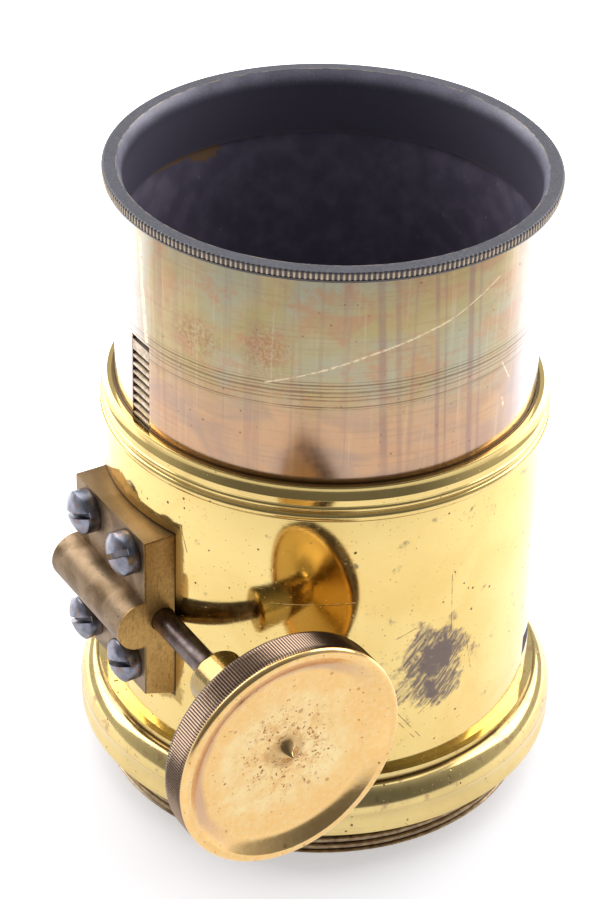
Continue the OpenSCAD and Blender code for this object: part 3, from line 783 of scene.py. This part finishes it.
def knob_brass(name):
    """Knob: golden dish spotted with brown towards its centre, and a browned knurled edge."""
    paint = Paint(name, 1.0, 0.16)
    from_centre = paint.shifted(paint.place, (SHAFT_X, 0, -PINION_Z))
    radius = paint.measure("LENGTH", paint.stretch(from_centre, (1, 0, 1)))
    depth = paint.math("MULTIPLY", paint.part(1), -1.0)
    cloud = paint.noise(0.14, 5.0, shift=5.0, distortion=0.7)
    fine = paint.noise(1.0, 6.0, shift=25.0, roughness=0.6)
    gold = paint.mix(paint.band(cloud, 0.36, 0.62), (0.88, 0.68, 0.33), (0.84, 0.58, 0.25))
    outer = paint.band(paint.uneven(radius, cloud, 4), 10.5, 14.5)
    gold = paint.coat(gold, (0.84, 0.52, 0.19), outer, 0.8)
    colour = paint.coat(gold, (0.93, 0.78, 0.50), paint.band(fine, 0.4, 0.7), 0.25)
    uneven = paint.uneven(radius, cloud, 1.2)
    rim_band = paint.band(paint.gap(uneven, 17.6), 1.8, 0.4)
    lean = paint.math("SUBTRACT", paint.part(2), paint.part(0))
    upper_left = paint.band(lean, PINION_Z + SHAFT_X - 10.0, PINION_Z + SHAFT_X + 14.0)
    colour = paint.mix(paint.product(rim_band, upper_left, 0.75), colour, (0.52, 0.32, 0.22))
    inner = paint.band(paint.uneven(radius, cloud, 5), 14.0, 4.0)
    brown_cloud = paint.band(paint.noise(0.5, 6.0, shift=35.0, roughness=0.75), 0.46, 0.66)
    colour = paint.mix(paint.product(brown_cloud, inner, 0.6), colour, (0.60, 0.29, 0.09))
    crowded = paint.product(inner, 0.075)
    small = paint.math("ADD", paint.noise(1.5, 4.0, shift=75.0, roughness=0.6), crowded)
    large = paint.noise(0.75, 5.0, shift=85.0, roughness=0.65)
    large = paint.math("ADD", large, paint.product(crowded, 0.5))
    spots = paint.most(
        paint.band(small, 0.665, 0.70), paint.band(large, 0.675, 0.70),
        paint.product(pits(paint, 0.55, 0.1), 0.6))
    colour = paint.coat(colour, (0.30, 0.11, 0.035), spots, 0.85)
    foot = paint.band(paint.uneven(radius, fine, 1.5), 4.5, 2.5)
    colour = paint.coat(colour, (0.42, 0.25, 0.10), foot, 0.65)
    edge = paint.product(
        paint.band(radius, KNOB_R - 1.2, KNOB_R - 0.7),
        paint.band(depth, KNOB_FRONT - 0.7, KNOB_FRONT - 1.4))
    valley = paint.band(radius, KNOB_R - 0.02, KNOB_R - 0.15)
    knurl = paint.mix(valley, (0.33, 0.235, 0.165), (0.09, 0.06, 0.045))
    colour = paint.mix(edge, colour, knurl)
    back = paint.product(
        paint.band(depth, KNOB_FRONT - 4.8, KNOB_FRONT - 5.1),
        paint.band(radius, KNOB_R - 1.9, KNOB_R - 2.2))
    colour = paint.mix(back, colour, (0.50, 0.33, 0.11))
    hub = paint.band(depth, KNOB_FRONT - 6.2, KNOB_FRONT - 6.8)
    colour = paint.coat(colour, (0.34, 0.25, 0.11), hub, 0.85)
    rough = paint.most(paint.spread(fine, 0.1, 0.24), paint.product(spots, 0.4))
    paint.bump(cloud, 0.05)
    return paint.finish(colour, rough)


def painted_slot_shade(paint):
    """Painted shade: 1 in the slots of the housing screws, inside the heads' radius and below their domes.
    """
    across = paint.math("SUBTRACT", paint.math("ABSOLUTE", paint.part(1)), SCREW_Y)
    middle = sum(SCREW_ZS) / 2
    reach = (SCREW_ZS[1] - SCREW_ZS[0]) / 2
    off_row = paint.gap(paint.part(2), middle)
    along = paint.math("SUBTRACT", off_row, reach)
    radial = paint.math("SQRT", paint.math("MULTIPLY_ADD", across, across, paint.product(along, along)))
    depth = paint.product(paint.part(0), -1.0)
    below_dome = paint.band(depth, HOUSING_X + 2.45, HOUSING_X + 2.1)
    above_plate = paint.band(depth, HOUSING_X + 0.1, HOUSING_X + 0.5)
    return paint.product(below_dome, paint.band(radial, 3.95, 3.7), above_plate)


def steel(name, light, dark, rust, roughness, dark_fill=None):
    """Blued or browned steel with a little rust, and painted shade where a mask is given."""
    paint = Paint(name, 1.0, roughness)
    cloud = paint.noise(0.5, 5.0, shift=3.0)
    rusty = paint.band(paint.noise(0.8, 5.0, shift=14.0), 0.52, 0.68)
    colour = paint.mix(paint.band(cloud, 0.3, 0.7), light, dark)
    colour = paint.coat(colour, rust, rusty, 0.5)
    grain = paint.noise(3.5, 3.0, (0.5, 1.0, 1.0), 4.0)
    # Painted shade: near black where the given mask is 1.
    if dark_fill:
        colour = paint.coat(colour, (0.03, 0.026, 0.03), dark_fill(paint), 0.85)
    paint.bump(grain, 0.012)
    return paint.finish(colour, paint.spread(grain, roughness * 0.7, roughness * 1.4))


def rack_brass(name):
    """Rack: pale worn teeth, near black between them."""
    paint = Paint(name, 1.0, 0.35)
    radius = paint.math("MULTIPLY", paint.part(0), -1.0)
    # Near black deeper than the teeth's tops.
    dark_fill = paint.band(radius, 37.75, 37.15)
    grime = paint.noise(1.2, 5.0, shift=5.0)
    colour = paint.mix(paint.band(grime, 0.3, 0.7), (0.62, 0.52, 0.40), (0.42, 0.33, 0.23))
    colour = paint.mix(dark_fill, colour, (0.028, 0.02, 0.016))
    paint.bump(grime, 0.02)
    return paint.finish(colour, paint.spread(grime, 0.28, 0.5))


def optical_glass(name, ior, tint):
    """Clear old glass with faint cleaning marks."""
    paint = Paint(name, 0.0, 0.02)
    paint.shader.inputs["Transmission Weight"].default_value = 1.0
    paint.shader.inputs["IOR"].default_value = ior
    wipe = paint.noise(0.6, 4.0, (1.0, 0.2, 1.0), 3.0)
    colour = paint.mix(wipe, tint, (1.0, 1.0, 1.0))
    paint.bump(wipe, 0.0006)
    return paint.finish(colour, paint.spread(wipe, 0.0, 0.05))


def dull_brass(name):
    """Unpolished brass of the threads and the inner cells."""
    paint = Paint(name, 1.0, 0.35)
    cloud = paint.noise(0.3, 5.0, shift=9.0)
    fine = paint.noise(2.0, 4.0, (0.1, 0.1, 1.0), 3.0)
    colour = paint.mix(paint.band(cloud, 0.3, 0.7), (0.50, 0.36, 0.16), (0.33, 0.23, 0.12))
    colour = paint.coat(colour, (0.17, 0.11, 0.06), paint.band(fine, 0.5, 0.7), 0.4)
    paint.bump(fine, 0.01)
    return paint.finish(colour, paint.spread(cloud, 0.26, 0.45))


def base_marks(paint, colour, rough):
    """Browned thread under the moulding, dark and pink spots on its shoulder, and painted shade in the
    groove at the barrel's foot.
    """
    height = paint.part(2)
    thread = paint.band(height, 7.6, 7.0)
    grime = paint.noise(0.8, 5.0, (1, 1, 1.5), 8.0)
    dull = paint.mix(paint.band(grime, 0.3, 0.7), (0.50, 0.38, 0.22), (0.28, 0.19, 0.12))
    valley = paint.band(paint.radius(), 41.05, 40.6)
    dull = paint.coat(dull, (0.07, 0.045, 0.03), valley, 0.85)
    colour = paint.mix(thread, colour, dull)
    blotch = paint.band(paint.noise(0.45, 5.0, shift=41.0), 0.58, 0.68)
    shoulder = paint.product(paint.band(height, 12.0, 13.0), blotch)
    colour = paint.coat(colour, (0.50, 0.30, 0.17), shoulder, 0.65)
    # Painted shade: dark brown in the groove where the base ring meets the barrel.
    groove_shade = paint.product(paint.band(height, 16.2, 16.7), paint.band(height, 17.6, 17.0))
    colour = paint.coat(colour, (0.16, 0.10, 0.045), groove_shade, 0.75)
    rough = paint.most(rough, paint.product(thread, 0.34), paint.product(shoulder, 0.25))
    return colour, rough


def mouth_painted_shade(paint, colour, rough):
    """Painted shade in the gap round the tube, along the ring's foot on the barrel and in the groove
    between the beads.
    """
    radius = paint.radius()
    height = paint.part(2)
    grime = paint.noise(0.5, 4.0, shift=44.0)
    gap = paint.band(paint.uneven(radius, grime, 0.15), GUIDE_R + 0.75, GUIDE_R + 0.3)
    foot = paint.band(height, BARREL_TOP + 0.25, BARREL_TOP)
    groove_shade = paint.band(paint.gap(height, BARREL_TOP + 1.86), 0.3, 0.1)
    # Painted shade: dark brown in the gap, at the foot and in the groove.
    dark_fill = paint.most(gap, foot, paint.product(groove_shade, 0.7))
    colour = paint.coat(colour, (0.10, 0.06, 0.03), dark_fill, 0.85)
    return colour, paint.most(rough, paint.product(dark_fill, 0.45))


# ---------------------------------------------------------------- pieces

def dress(piece, body, slot, nodes, *materials):
    """Gives a new piece its body, CAD nodes and materials; the slot is not used."""
    for material in materials:
        piece.data.materials.append(material)
    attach(piece, body)
    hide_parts(*nodes)
    return piece


def repaint(slot, material, *nodes):
    """Gives CAD nodes a better material."""
    for node in nodes:
        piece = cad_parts[node]
        for holder in piece.material_slots:
            holder.material = material
        if not piece.material_slots:
            piece.data.materials.append(material)


def paint_inside(piece, radius, index):
    """Gives the faces that look at the optical axis another material."""
    for face in piece.data.polygons:
        centre = face.center
        if math.hypot(centre.x, centre.y) < radius * MM:
            face.material_index = index


def half_angle(half_width, radius):
    """Half of the angle, in degrees, that a straight width takes up on a tube."""
    return math.degrees(math.asin(half_width / radius))


def make_barrel():
    """Main tube with the stop slot, and with room for the pinion and for its shaft."""
    half_slot = 50
    slot_low, slot_high = 24.8, 29.2
    pinion_room, pinion_reach = half_angle(3.2, BARREL_R), 4
    shaft_room, shaft_reach = half_angle(12.4, BARREL_R), 2.4
    cuts = [
        (-half_slot, half_slot, slot_low, slot_high),
        (180 - pinion_room, 180 + pinion_room, PINION_Z - pinion_reach, PINION_Z + pinion_reach),
        (180 - shaft_room, 180 + shaft_room, PINION_Z - shaft_reach, PINION_Z + shaft_reach),
    ]
    piece = cut_tube("outer_barrel_tube", BARREL_R, BARREL_IN, BARREL_LOW, BARREL_TOP, cuts, 480)
    worn_edges(piece, 0.12, 2)
    paint_inside(piece, BARREL_IN + 0.1, 1)
    for face in piece.data.polygons:
        centre = face.center / MM
        in_slot = centre.x > 0 and slot_low - 0.1 < centre.z < slot_high + 0.1
        if in_slot and math.hypot(centre.x, centre.y) < BARREL_R - 0.05:
            face.material_index = 1
    return piece


def make_mouth_ring():
    """Two beads, a hollow and a rounded throat above the barrel, and a skirt inside it."""
    body_r = BARREL_R - 0.05
    lower_bead = arc(body_r - 0.25, BARREL_TOP + 0.9, 0.85, -73, 73, 14)
    upper_bead = arc(body_r - 0.15, BARREL_TOP + 2.55, 0.55, -74, 74, 12)
    cavetto = arc(body_r + 4.1, MOUTH_TOP + 0.7, 5.0, 215, 191.5, 20)
    throat = arc(GUIDE_R + 0.15, MOUTH_TOP + 0.35, 0.55, -40, -106, 8)
    skirt_r, skirt_low = BARREL_IN - 0.02, BARREL_TOP - 3.6
    outline = [
        (GUIDE_R, skirt_low), (skirt_r, skirt_low), (skirt_r, BARREL_TOP),
        (body_r - 0.3, BARREL_TOP), *lower_bead, *upper_bead, *cavetto,
        (body_r - 0.9, MOUTH_TOP), *throat,
    ]
    return lathe("mouth_ring_moulding", softened(outline, 0.09), 360, smooth_angle=45)


def make_base_ring():
    """Moulded ring round the barrel's foot, with a helical thread under it."""
    pitch, crest, depth = 1.5, 0.45, 0.72
    thread_r, thread_top = 41.2, 6.4
    rows = 72
    thread_bore, cell_seat, seat_low = 38.2, 34.9, 4
    neck_r, neck_top = 40.3, 7.2
    side_r = BASE_R - 0.1
    top_r, shoulder_low, shoulder_height = 41.7, 12.3, 4.3
    groove_r, groove_low = 41.85, 17.0

    def thread(radius, height, angle):
        if radius != thread_r or not 0 < height < thread_top:
            return radius
        phase = (height / pitch - angle / (2 * math.pi)) % 1
        into = min(max((min(phase - crest, 1 - phase)) / 0.2, 0), 1)
        ends = min(height / 0.5, (thread_top - height) / 0.3, 1)
        return radius - depth * into * ends

    hollow = arc(side_r + 4.65, 10.7, 5.0, 201.5, 158.5, 24)
    shoulder = [
        (top_r + (side_r - top_r) * math.cos(a), shoulder_low + shoulder_height * math.sin(a) ** 1.25)
        for a in (math.radians(degrees) for degrees in range(0, 88, 3))
    ]
    outline = [
        (thread_bore, 0), *[(thread_r, thread_top * i / rows) for i in range(rows + 1)],
        (neck_r, thread_top + 0.05), (neck_r, neck_top), (side_r - 0.6, neck_top), (side_r, neck_top + 0.6),
        *hollow, *shoulder,
        (groove_r, groove_low), (groove_r, BASE_TOP), (BARREL_R, BASE_TOP), (BARREL_R, BARREL_LOW),
        (cell_seat, BARREL_LOW), (cell_seat, seat_low), (thread_bore, seat_low),
    ]
    return lathe("base_ring_moulding", outline, 360, thread, 45)


def make_tube():
    """Sliding tube with a slot for the rack, and a notch that clears the stop slot when it is pushed in."""
    slot, slot_top = half_angle(3.0, TUBE_R), RACK_TOP + 1.1
    notch, notch_top = 54, 54.4
    below = TUBE_LOW - 1
    cuts = [(180 - slot, 180 + slot, below, slot_top), (-notch, notch, below, notch_top)]
    piece = cut_tube("draw_tube_shell", TUBE_R, TUBE_IN, TUBE_LOW, TUBE_TOP, cuts, 480)
    worn_edges(piece, 0.08, 2)
    paint_inside(piece, TUBE_IN + 0.1, 1)
    return piece


def make_hood():
    """Knurled flange over a sleeve that flares toward its mouth."""
    knurls, depth = 280, 0.24
    sleeve_in, flare_h = 36.35, 3.2
    flare_w = MOUTH_R - sleeve_in
    flare_r = (flare_h ** 2 + flare_w ** 2) / (2 * flare_w)
    flare_end = math.degrees(math.asin(flare_h / flare_r))
    flange_low = TUBE_TOP
    knurl_low, knurl_high = flange_low + 0.5, FRONT_Z - 0.12

    def knurl(radius, height, angle):
        if radius < RIM_R - 0.01:
            return radius
        fade = min((height - knurl_low) / 0.2, (knurl_high - height) / 0.2, 1)
        return radius - depth * (0.5 - 0.5 * math.cos(knurls * angle)) - 0.1 * (1 - max(fade, 0))

    flare = arc(sleeve_in + flare_r, FRONT_Z - flare_h, flare_r, 180, 180 - flare_end, 14)
    band = [(RIM_R, knurl_low + (knurl_high - knurl_low) * i / 7) for i in range(8)]
    outline = [
        (TUBE_IN - 0.01, HOOD_LOW), (TUBE_IN - 0.01, flange_low), (RIM_R - 0.25, flange_low),
        (RIM_R - 0.15, flange_low + 0.1), (RIM_R - 0.15, flange_low + 0.38),
        (RIM_R - 0.3, knurl_low - 0.02),
        *band, (RIM_R - 0.32, FRONT_Z - 0.01), (RIM_R - 0.6, FRONT_Z), (MOUTH_R + 0.1, FRONT_Z),
        *flare[::-1], (sleeve_in, HOOD_LOW + 0.1),
    ]
    return lathe("front_hood_knurled", outline, knurls * 6, knurl, 50)


def make_knob():
    """Dished knob with a raised rim, a centre point, a knurled edge and a hub behind."""
    knurls, depth = 264, 0.17
    lip, dish_r, dish_depth = 0.9, 19.6, 2.6
    wall_w, wall_h = 3.4, 1.75
    floor_r = dish_r - wall_w
    thickness, socket_depth = 6.4, 3.4
    point_height, point_depth, point_r = 0.2, 3.0, 1.5
    back = KNOB_FRONT - thickness
    shaft_end = KNOB_FRONT - socket_depth
    hub_r, hub_end, hub_edge = 5.3, 31.0, 1.2
    knurl_low, knurl_high = back + 0.35, KNOB_FRONT - lip - 0.2

    def knurl(radius, height, angle):
        if radius < KNOB_R - 0.01 or not knurl_low - 0.01 < height < knurl_high + 0.01:
            return radius
        fade = min((height - knurl_low) / 0.25, (knurl_high - height) / 0.25, 1)
        return radius - depth * (0.5 - 0.5 * math.cos(knurls * angle)) - 0.08 * (1 - max(fade, 0))

    def bowl(radius):
        rise = (dish_depth - wall_h) * (radius / floor_r) ** 2
        wall = max(radius - floor_r, 0) / wall_w
        point = KNOB_FRONT + point_height - point_depth * (1 - math.exp(-radius / point_r))
        return max(KNOB_FRONT - dish_depth + rise + (dish_depth - rise) * wall ** 1.7, point)

    dish = [(r, bowl(r)) for r in (dish_r * i / 90 for i in range(91))]
    rim = arc(KNOB_R - lip, KNOB_FRONT - lip, lip, 92, 4, 12)
    band = [(KNOB_R, knurl_high - (knurl_high - knurl_low) * i / 9) for i in range(10)]
    outline = [
        *dish, *rim, (KNOB_R - 0.12, KNOB_FRONT - lip - 0.12), *band,
        (KNOB_R - 0.3, back + 0.15), (KNOB_R - 0.5, back), (KNOB_R - 2.2, back),
        (KNOB_R - 2.5, back + 1.1), (hub_r + 0.6, back + 1.2), (hub_r, back + 0.7),
        *arc(hub_r - hub_edge, hub_end + hub_edge, hub_edge, 0, -90, 8),
        (SHAFT_R, hub_end), (SHAFT_R, shaft_end), (0, shaft_end),
    ]
    return placed(lathe("focus_knob_turned", outline, knurls * 6, knurl, 50), along_shaft())


def make_housing():
    """Plate hollowed to the barrel with a half-round boss, bored for the shaft and hollowed for the pinion.
    """
    hollow_r = BARREL_R + 0.02
    deepest_x = 37.5
    slices = 48
    boss_x = HOUSING_X + 0.5
    reach = 180 - math.degrees(math.acos((boss_x - HOUSING_X) / BOSS_R))
    boss = arc(boss_x, PINION_Z, BOSS_R, -reach, reach, 28)
    fixed = [(HOUSING_X, HOUSING_LOW), *boss, (HOUSING_X, HOUSING_TOP)]
    points, faces = [], []
    for k in range(slices + 1):
        y = -HOUSING_HALF + 2 * HOUSING_HALF * k / slices
        inner = math.sqrt(hollow_r ** 2 - y ** 2)
        low = HOUSING_LOW - HOUSING_SLANT * (HOUSING_X - inner) / (HOUSING_X - deepest_x)
        section = [*fixed, (inner, HOUSING_TOP), (inner, low)]
        points += [(-x, y, z) for x, z in section]
    rows = len(fixed) + 2
    for k in range(slices):
        for i in range(rows):
            j = (i + 1) % rows
            faces.append((k * rows + i, (k + 1) * rows + i, (k + 1) * rows + j, k * rows + j))
    faces += [tuple(range(rows)), tuple(range(slices * rows, (slices + 1) * rows))]
    name = "pinion_housing_plate"
    piece = new_object(name, closed_mesh(name, points, faces))
    bore = placed(rod("bore", SHAFT_R + 0.12, -HOUSING_HALF - 1, HOUSING_HALF + 1), along_shaft())
    room_r, room_half = 4.0, 3.2
    room = placed(rod("room", room_r, -room_half, room_half), along_shaft())
    return worn_edges(drilled(piece, [bore, room]), 0.35, 3)


def make_screw(number, y, z, turn, flats):
    """Domed cheese-head screw with a slot; flats are the angles of filed spots on its side."""
    head_r, wall, dome = 4.1, 2.5, 1.5
    filed_r = head_r * 0.955
    dome_r = (head_r ** 2 + dome ** 2) / (2 * dome)
    top = HOUSING_X + wall
    edge = math.degrees(math.asin(head_r / dome_r))
    cap = [
        (dome_r * math.sin(math.radians(a)), top + dome - dome_r + dome_r * math.cos(math.radians(a)))
        for a in (edge * 0.97 - edge * 0.97 * i / 12 for i in range(13))
    ]
    shank_r, shank_low = 1.99, 38.4
    slot_width, slot_depth = 1.1, dome + 0.5

    def filed(radius, height, angle):
        if radius < 3.0:
            return radius
        limit = min([filed_r / max(math.cos(angle - math.radians(f)), 0.2) for f in flats], default=head_r)
        return min(radius, limit * radius / head_r if radius < head_r else limit)

    outline = [
        (0, shank_low), (shank_r, shank_low), (shank_r, HOUSING_X), (head_r - 0.15, HOUSING_X),
        (head_r, HOUSING_X + 0.15), (head_r, top - 0.1), *cap[:-1], (0, top + dome),
    ]
    screw = lathe("housing_screw_%d" % number, outline, 96, filed, 40)
    blade_length, blade_height = 12, 6
    blade = cutter_box("blade", blade_length, slot_width, blade_height)
    slot_floor = top + dome - slot_depth
    placed(blade, Matrix.Translation((0, 0, (slot_floor + blade_height / 2) * MM)))
    worn_edges(drilled(screw, [blade]), 0.13, 2)
    turned = Matrix.Rotation(math.radians(-90), 4, "Y") @ Matrix.Rotation(math.radians(turn), 4, "Z")
    return placed(screw, Matrix.Translation((0, y * MM, z * MM)) @ turned)


def cutter_box(name, length, width, height):
    """Closed box about the origin."""
    work = bmesh.new()
    bmesh.ops.create_cube(work, size=MM)
    bmesh.ops.scale(work, vec=(length, width, height), verts=work.verts)
    mesh = bpy.data.meshes.new(name)
    work.to_mesh(mesh)
    work.free()
    return new_object(name, mesh)


# ---------------------------------------------------------------- the object

black = black_paint("matt_black_paint")

dress(make_barrel(), "barrel", "lacquered_brass", ["outer_barrel"],
      polished_brass("barrel_brass", marks=barrel_marks), black)
dress(make_mouth_ring(), "barrel", "lacquered_brass", ["mouth_ring"],
      polished_brass("mouth_brass", (0.80, 0.59, 0.21), (0.62, 0.42, 0.13), 0.11, 0.03, mouth_painted_shade))
dress(make_base_ring(), "barrel", "lacquered_brass", ["base_ring"],
      polished_brass("base_brass", (0.76, 0.58, 0.23), (0.56, 0.40, 0.14), 0.14, 0.07, base_marks))
dress(make_tube(), "draw", "tarnished_brass", ["draw_tube"], tarnished_tube("tarnished_tube"), black)
dress(make_hood(), "draw", "blackened_brass", ["front_hood"], blackened_brass("hood_paint"))
dress(make_knob(), "pinion", "lacquered_brass", ["focus_knob"], knob_brass("knob_brass"))
dress(make_housing(), "barrel", "patinated_brass", ["pinion_housing"], patinated_brass("housing_patina"))

# The screw steel carries painted shade in the screw slots.
screw_steel = steel(
    "blued_screw_steel", (0.30, 0.31, 0.37), (0.15, 0.155, 0.19), (0.36, 0.20, 0.12), 0.3, painted_slot_shade)
# Side, height, turn of the slot and filed spots of each screw
SCREWS = (
    (-SCREW_Y, SCREW_ZS[0], -66.4, (40, 160)), (-SCREW_Y, SCREW_ZS[1], -54, ()),
    (SCREW_Y, SCREW_ZS[0], -63, (100, 220)), (SCREW_Y, SCREW_ZS[1], -68.5, ()),
)
for number, (side, level, turn, flats) in enumerate(SCREWS, 1):
    screw = make_screw(number, side, level, turn, flats)
    dress(screw, "barrel", "blued_steel", ["housing_screws"], screw_steel)

shaft_steel = steel(
    "browned_shaft_steel", (0.20, 0.16, 0.15), (0.10, 0.075, 0.07), (0.17, 0.09, 0.05), 0.33)
repaint("dark_steel", shaft_steel, "pinion_shaft")
repaint("dull_brass", rack_brass("rack_brass"), "rack")
repaint("dull_brass", dull_brass("cell_brass"), "guide_ring", "rear_cell")
repaint("blackened_brass", black,
        "front_cell", "front_retaining_ring", "rear_spacer_ring", "rear_retaining_ring")
repaint("blued_steel", screw_steel, "stop_screw")
repaint("crown_glass", optical_glass("crown_glass", 1.52, (0.96, 1.0, 0.97)),
        "front_crown_lens", "rear_crown_lens")
repaint("flint_glass", optical_glass("flint_glass", 1.62, (1.0, 0.985, 0.94)),
        "front_flint_lens", "rear_flint_lens")


# ---------------------------------------------------------------- stage

def add_floor():
    """Large pale floor, flush with the part's lowest point, that glows a little toward the back."""
    half = 3.0
    mesh = bpy.data.meshes.new("floor")
    level = cad_bounds[0].z
    corners = [(-half, -half, level), (half, -half, level), (half, half, level), (-half, half, level)]
    mesh.from_pydata(corners, [], [(0, 1, 2, 3)])
    floor = new_object("floor", mesh)
    paint = Paint("pale_floor", 0.0, 0.6)
    colour = paint.mix(paint.noise(0.01, 2.0), (0.78, 0.775, 0.80), (0.82, 0.815, 0.84))
    paint.shader.inputs["Emission Color"].default_value = (0.985, 0.98, 1.0, 1.0)
    toward_back = paint.measure("DOT_PRODUCT", paint.place, -direction(CAMERA_AZIMUTH, 0))
    glow = paint.spread(paint.band(toward_back, 25.0, 120.0), 0.45, 1.4)
    paint.feed(paint.shader.inputs["Emission Strength"], glow)
    paint.finish(colour)
    mesh.materials.append(paint.material)


def add_softbox(name, azimuth, elevation, distance, width, height, power):
    """Rectangular soft light that faces the object."""
    data = bpy.data.lights.new(name, "AREA")
    data.shape = "RECTANGLE"
    data.size, data.size_y = width, height
    data.energy = power
    light = bpy.data.objects.new(name, data)
    light.location = CAMERA_TARGET + direction(azimuth, elevation) * distance
    light.rotation_mode = "QUATERNION"
    light.rotation_quaternion = direction(azimuth, elevation).to_track_quat("Z", "Y")
    bpy.context.scene.collection.objects.link(light)


def add_world():
    """White surroundings, dimmer on the camera's side."""
    world = bpy.data.worlds.new("white_room")
    bpy.context.scene.world = world
    world.use_nodes = True
    tree = world.node_tree
    place = tree.nodes.new("ShaderNodeTexCoord")
    dot = tree.nodes.new("ShaderNodeVectorMath")
    dot.operation = "DOT_PRODUCT"
    dot.inputs[1].default_value = direction(CAMERA_AZIMUTH, 12)
    tree.links.new(place.outputs["Generated"], dot.inputs[0])
    share = tree.nodes.new("ShaderNodeMapRange")
    share.interpolation_type = "SMOOTHSTEP"
    for socket, value in (("From Min", -0.2), ("From Max", 0.8), ("To Min", 0.64), ("To Max", 0.17)):
        share.inputs[socket].default_value = value
    tree.links.new(dot.outputs["Value"], share.inputs["Value"])
    tree.links.new(share.outputs["Result"], tree.nodes["Background"].inputs["Strength"])
    tree.nodes["Background"].inputs["Color"].default_value = (0.98, 0.985, 1.0, 1.0)


def add_camera():
    """Long lens, looking down at the knob's side."""
    data = bpy.data.cameras.new("camera")
    data.lens = CAMERA_LENS
    data.sensor_width = 36.0
    data.clip_start, data.clip_end = 0.01, 50
    camera = bpy.data.objects.new("camera", data)
    back = direction(CAMERA_AZIMUTH, CAMERA_ELEVATION)
    camera.location = CAMERA_TARGET + back * CAMERA_DISTANCE
    forward = Matrix.Rotation(math.radians(CAMERA_PAN), 3, "Z") @ -back
    right = forward.cross(Vector((0, 0, 1))).normalized()
    up = right.cross(forward)
    roll = math.radians(CAMERA_ROLL)
    right, up = right * math.cos(roll) + up * math.sin(roll), up * math.cos(roll) - right * math.sin(roll)
    camera.rotation_mode = "QUATERNION"
    camera.rotation_quaternion = Matrix((right, up, -forward)).transposed().to_quaternion()
    bpy.context.scene.collection.objects.link(camera)
    bpy.context.scene.camera = camera


add_camera()
add_floor()
add_world()
add_softbox("overhead", CAMERA_AZIMUTH + 180, 70, 0.7, 0.7, 0.5, 1.45)
for name, side in (("back_left", -122), ("back_right", 122)):
    add_softbox(name, CAMERA_AZIMUTH + side, 34, 0.42, 0.34, 0.3, 1.1)
bpy.context.scene.view_settings.view_transform = "Standard"
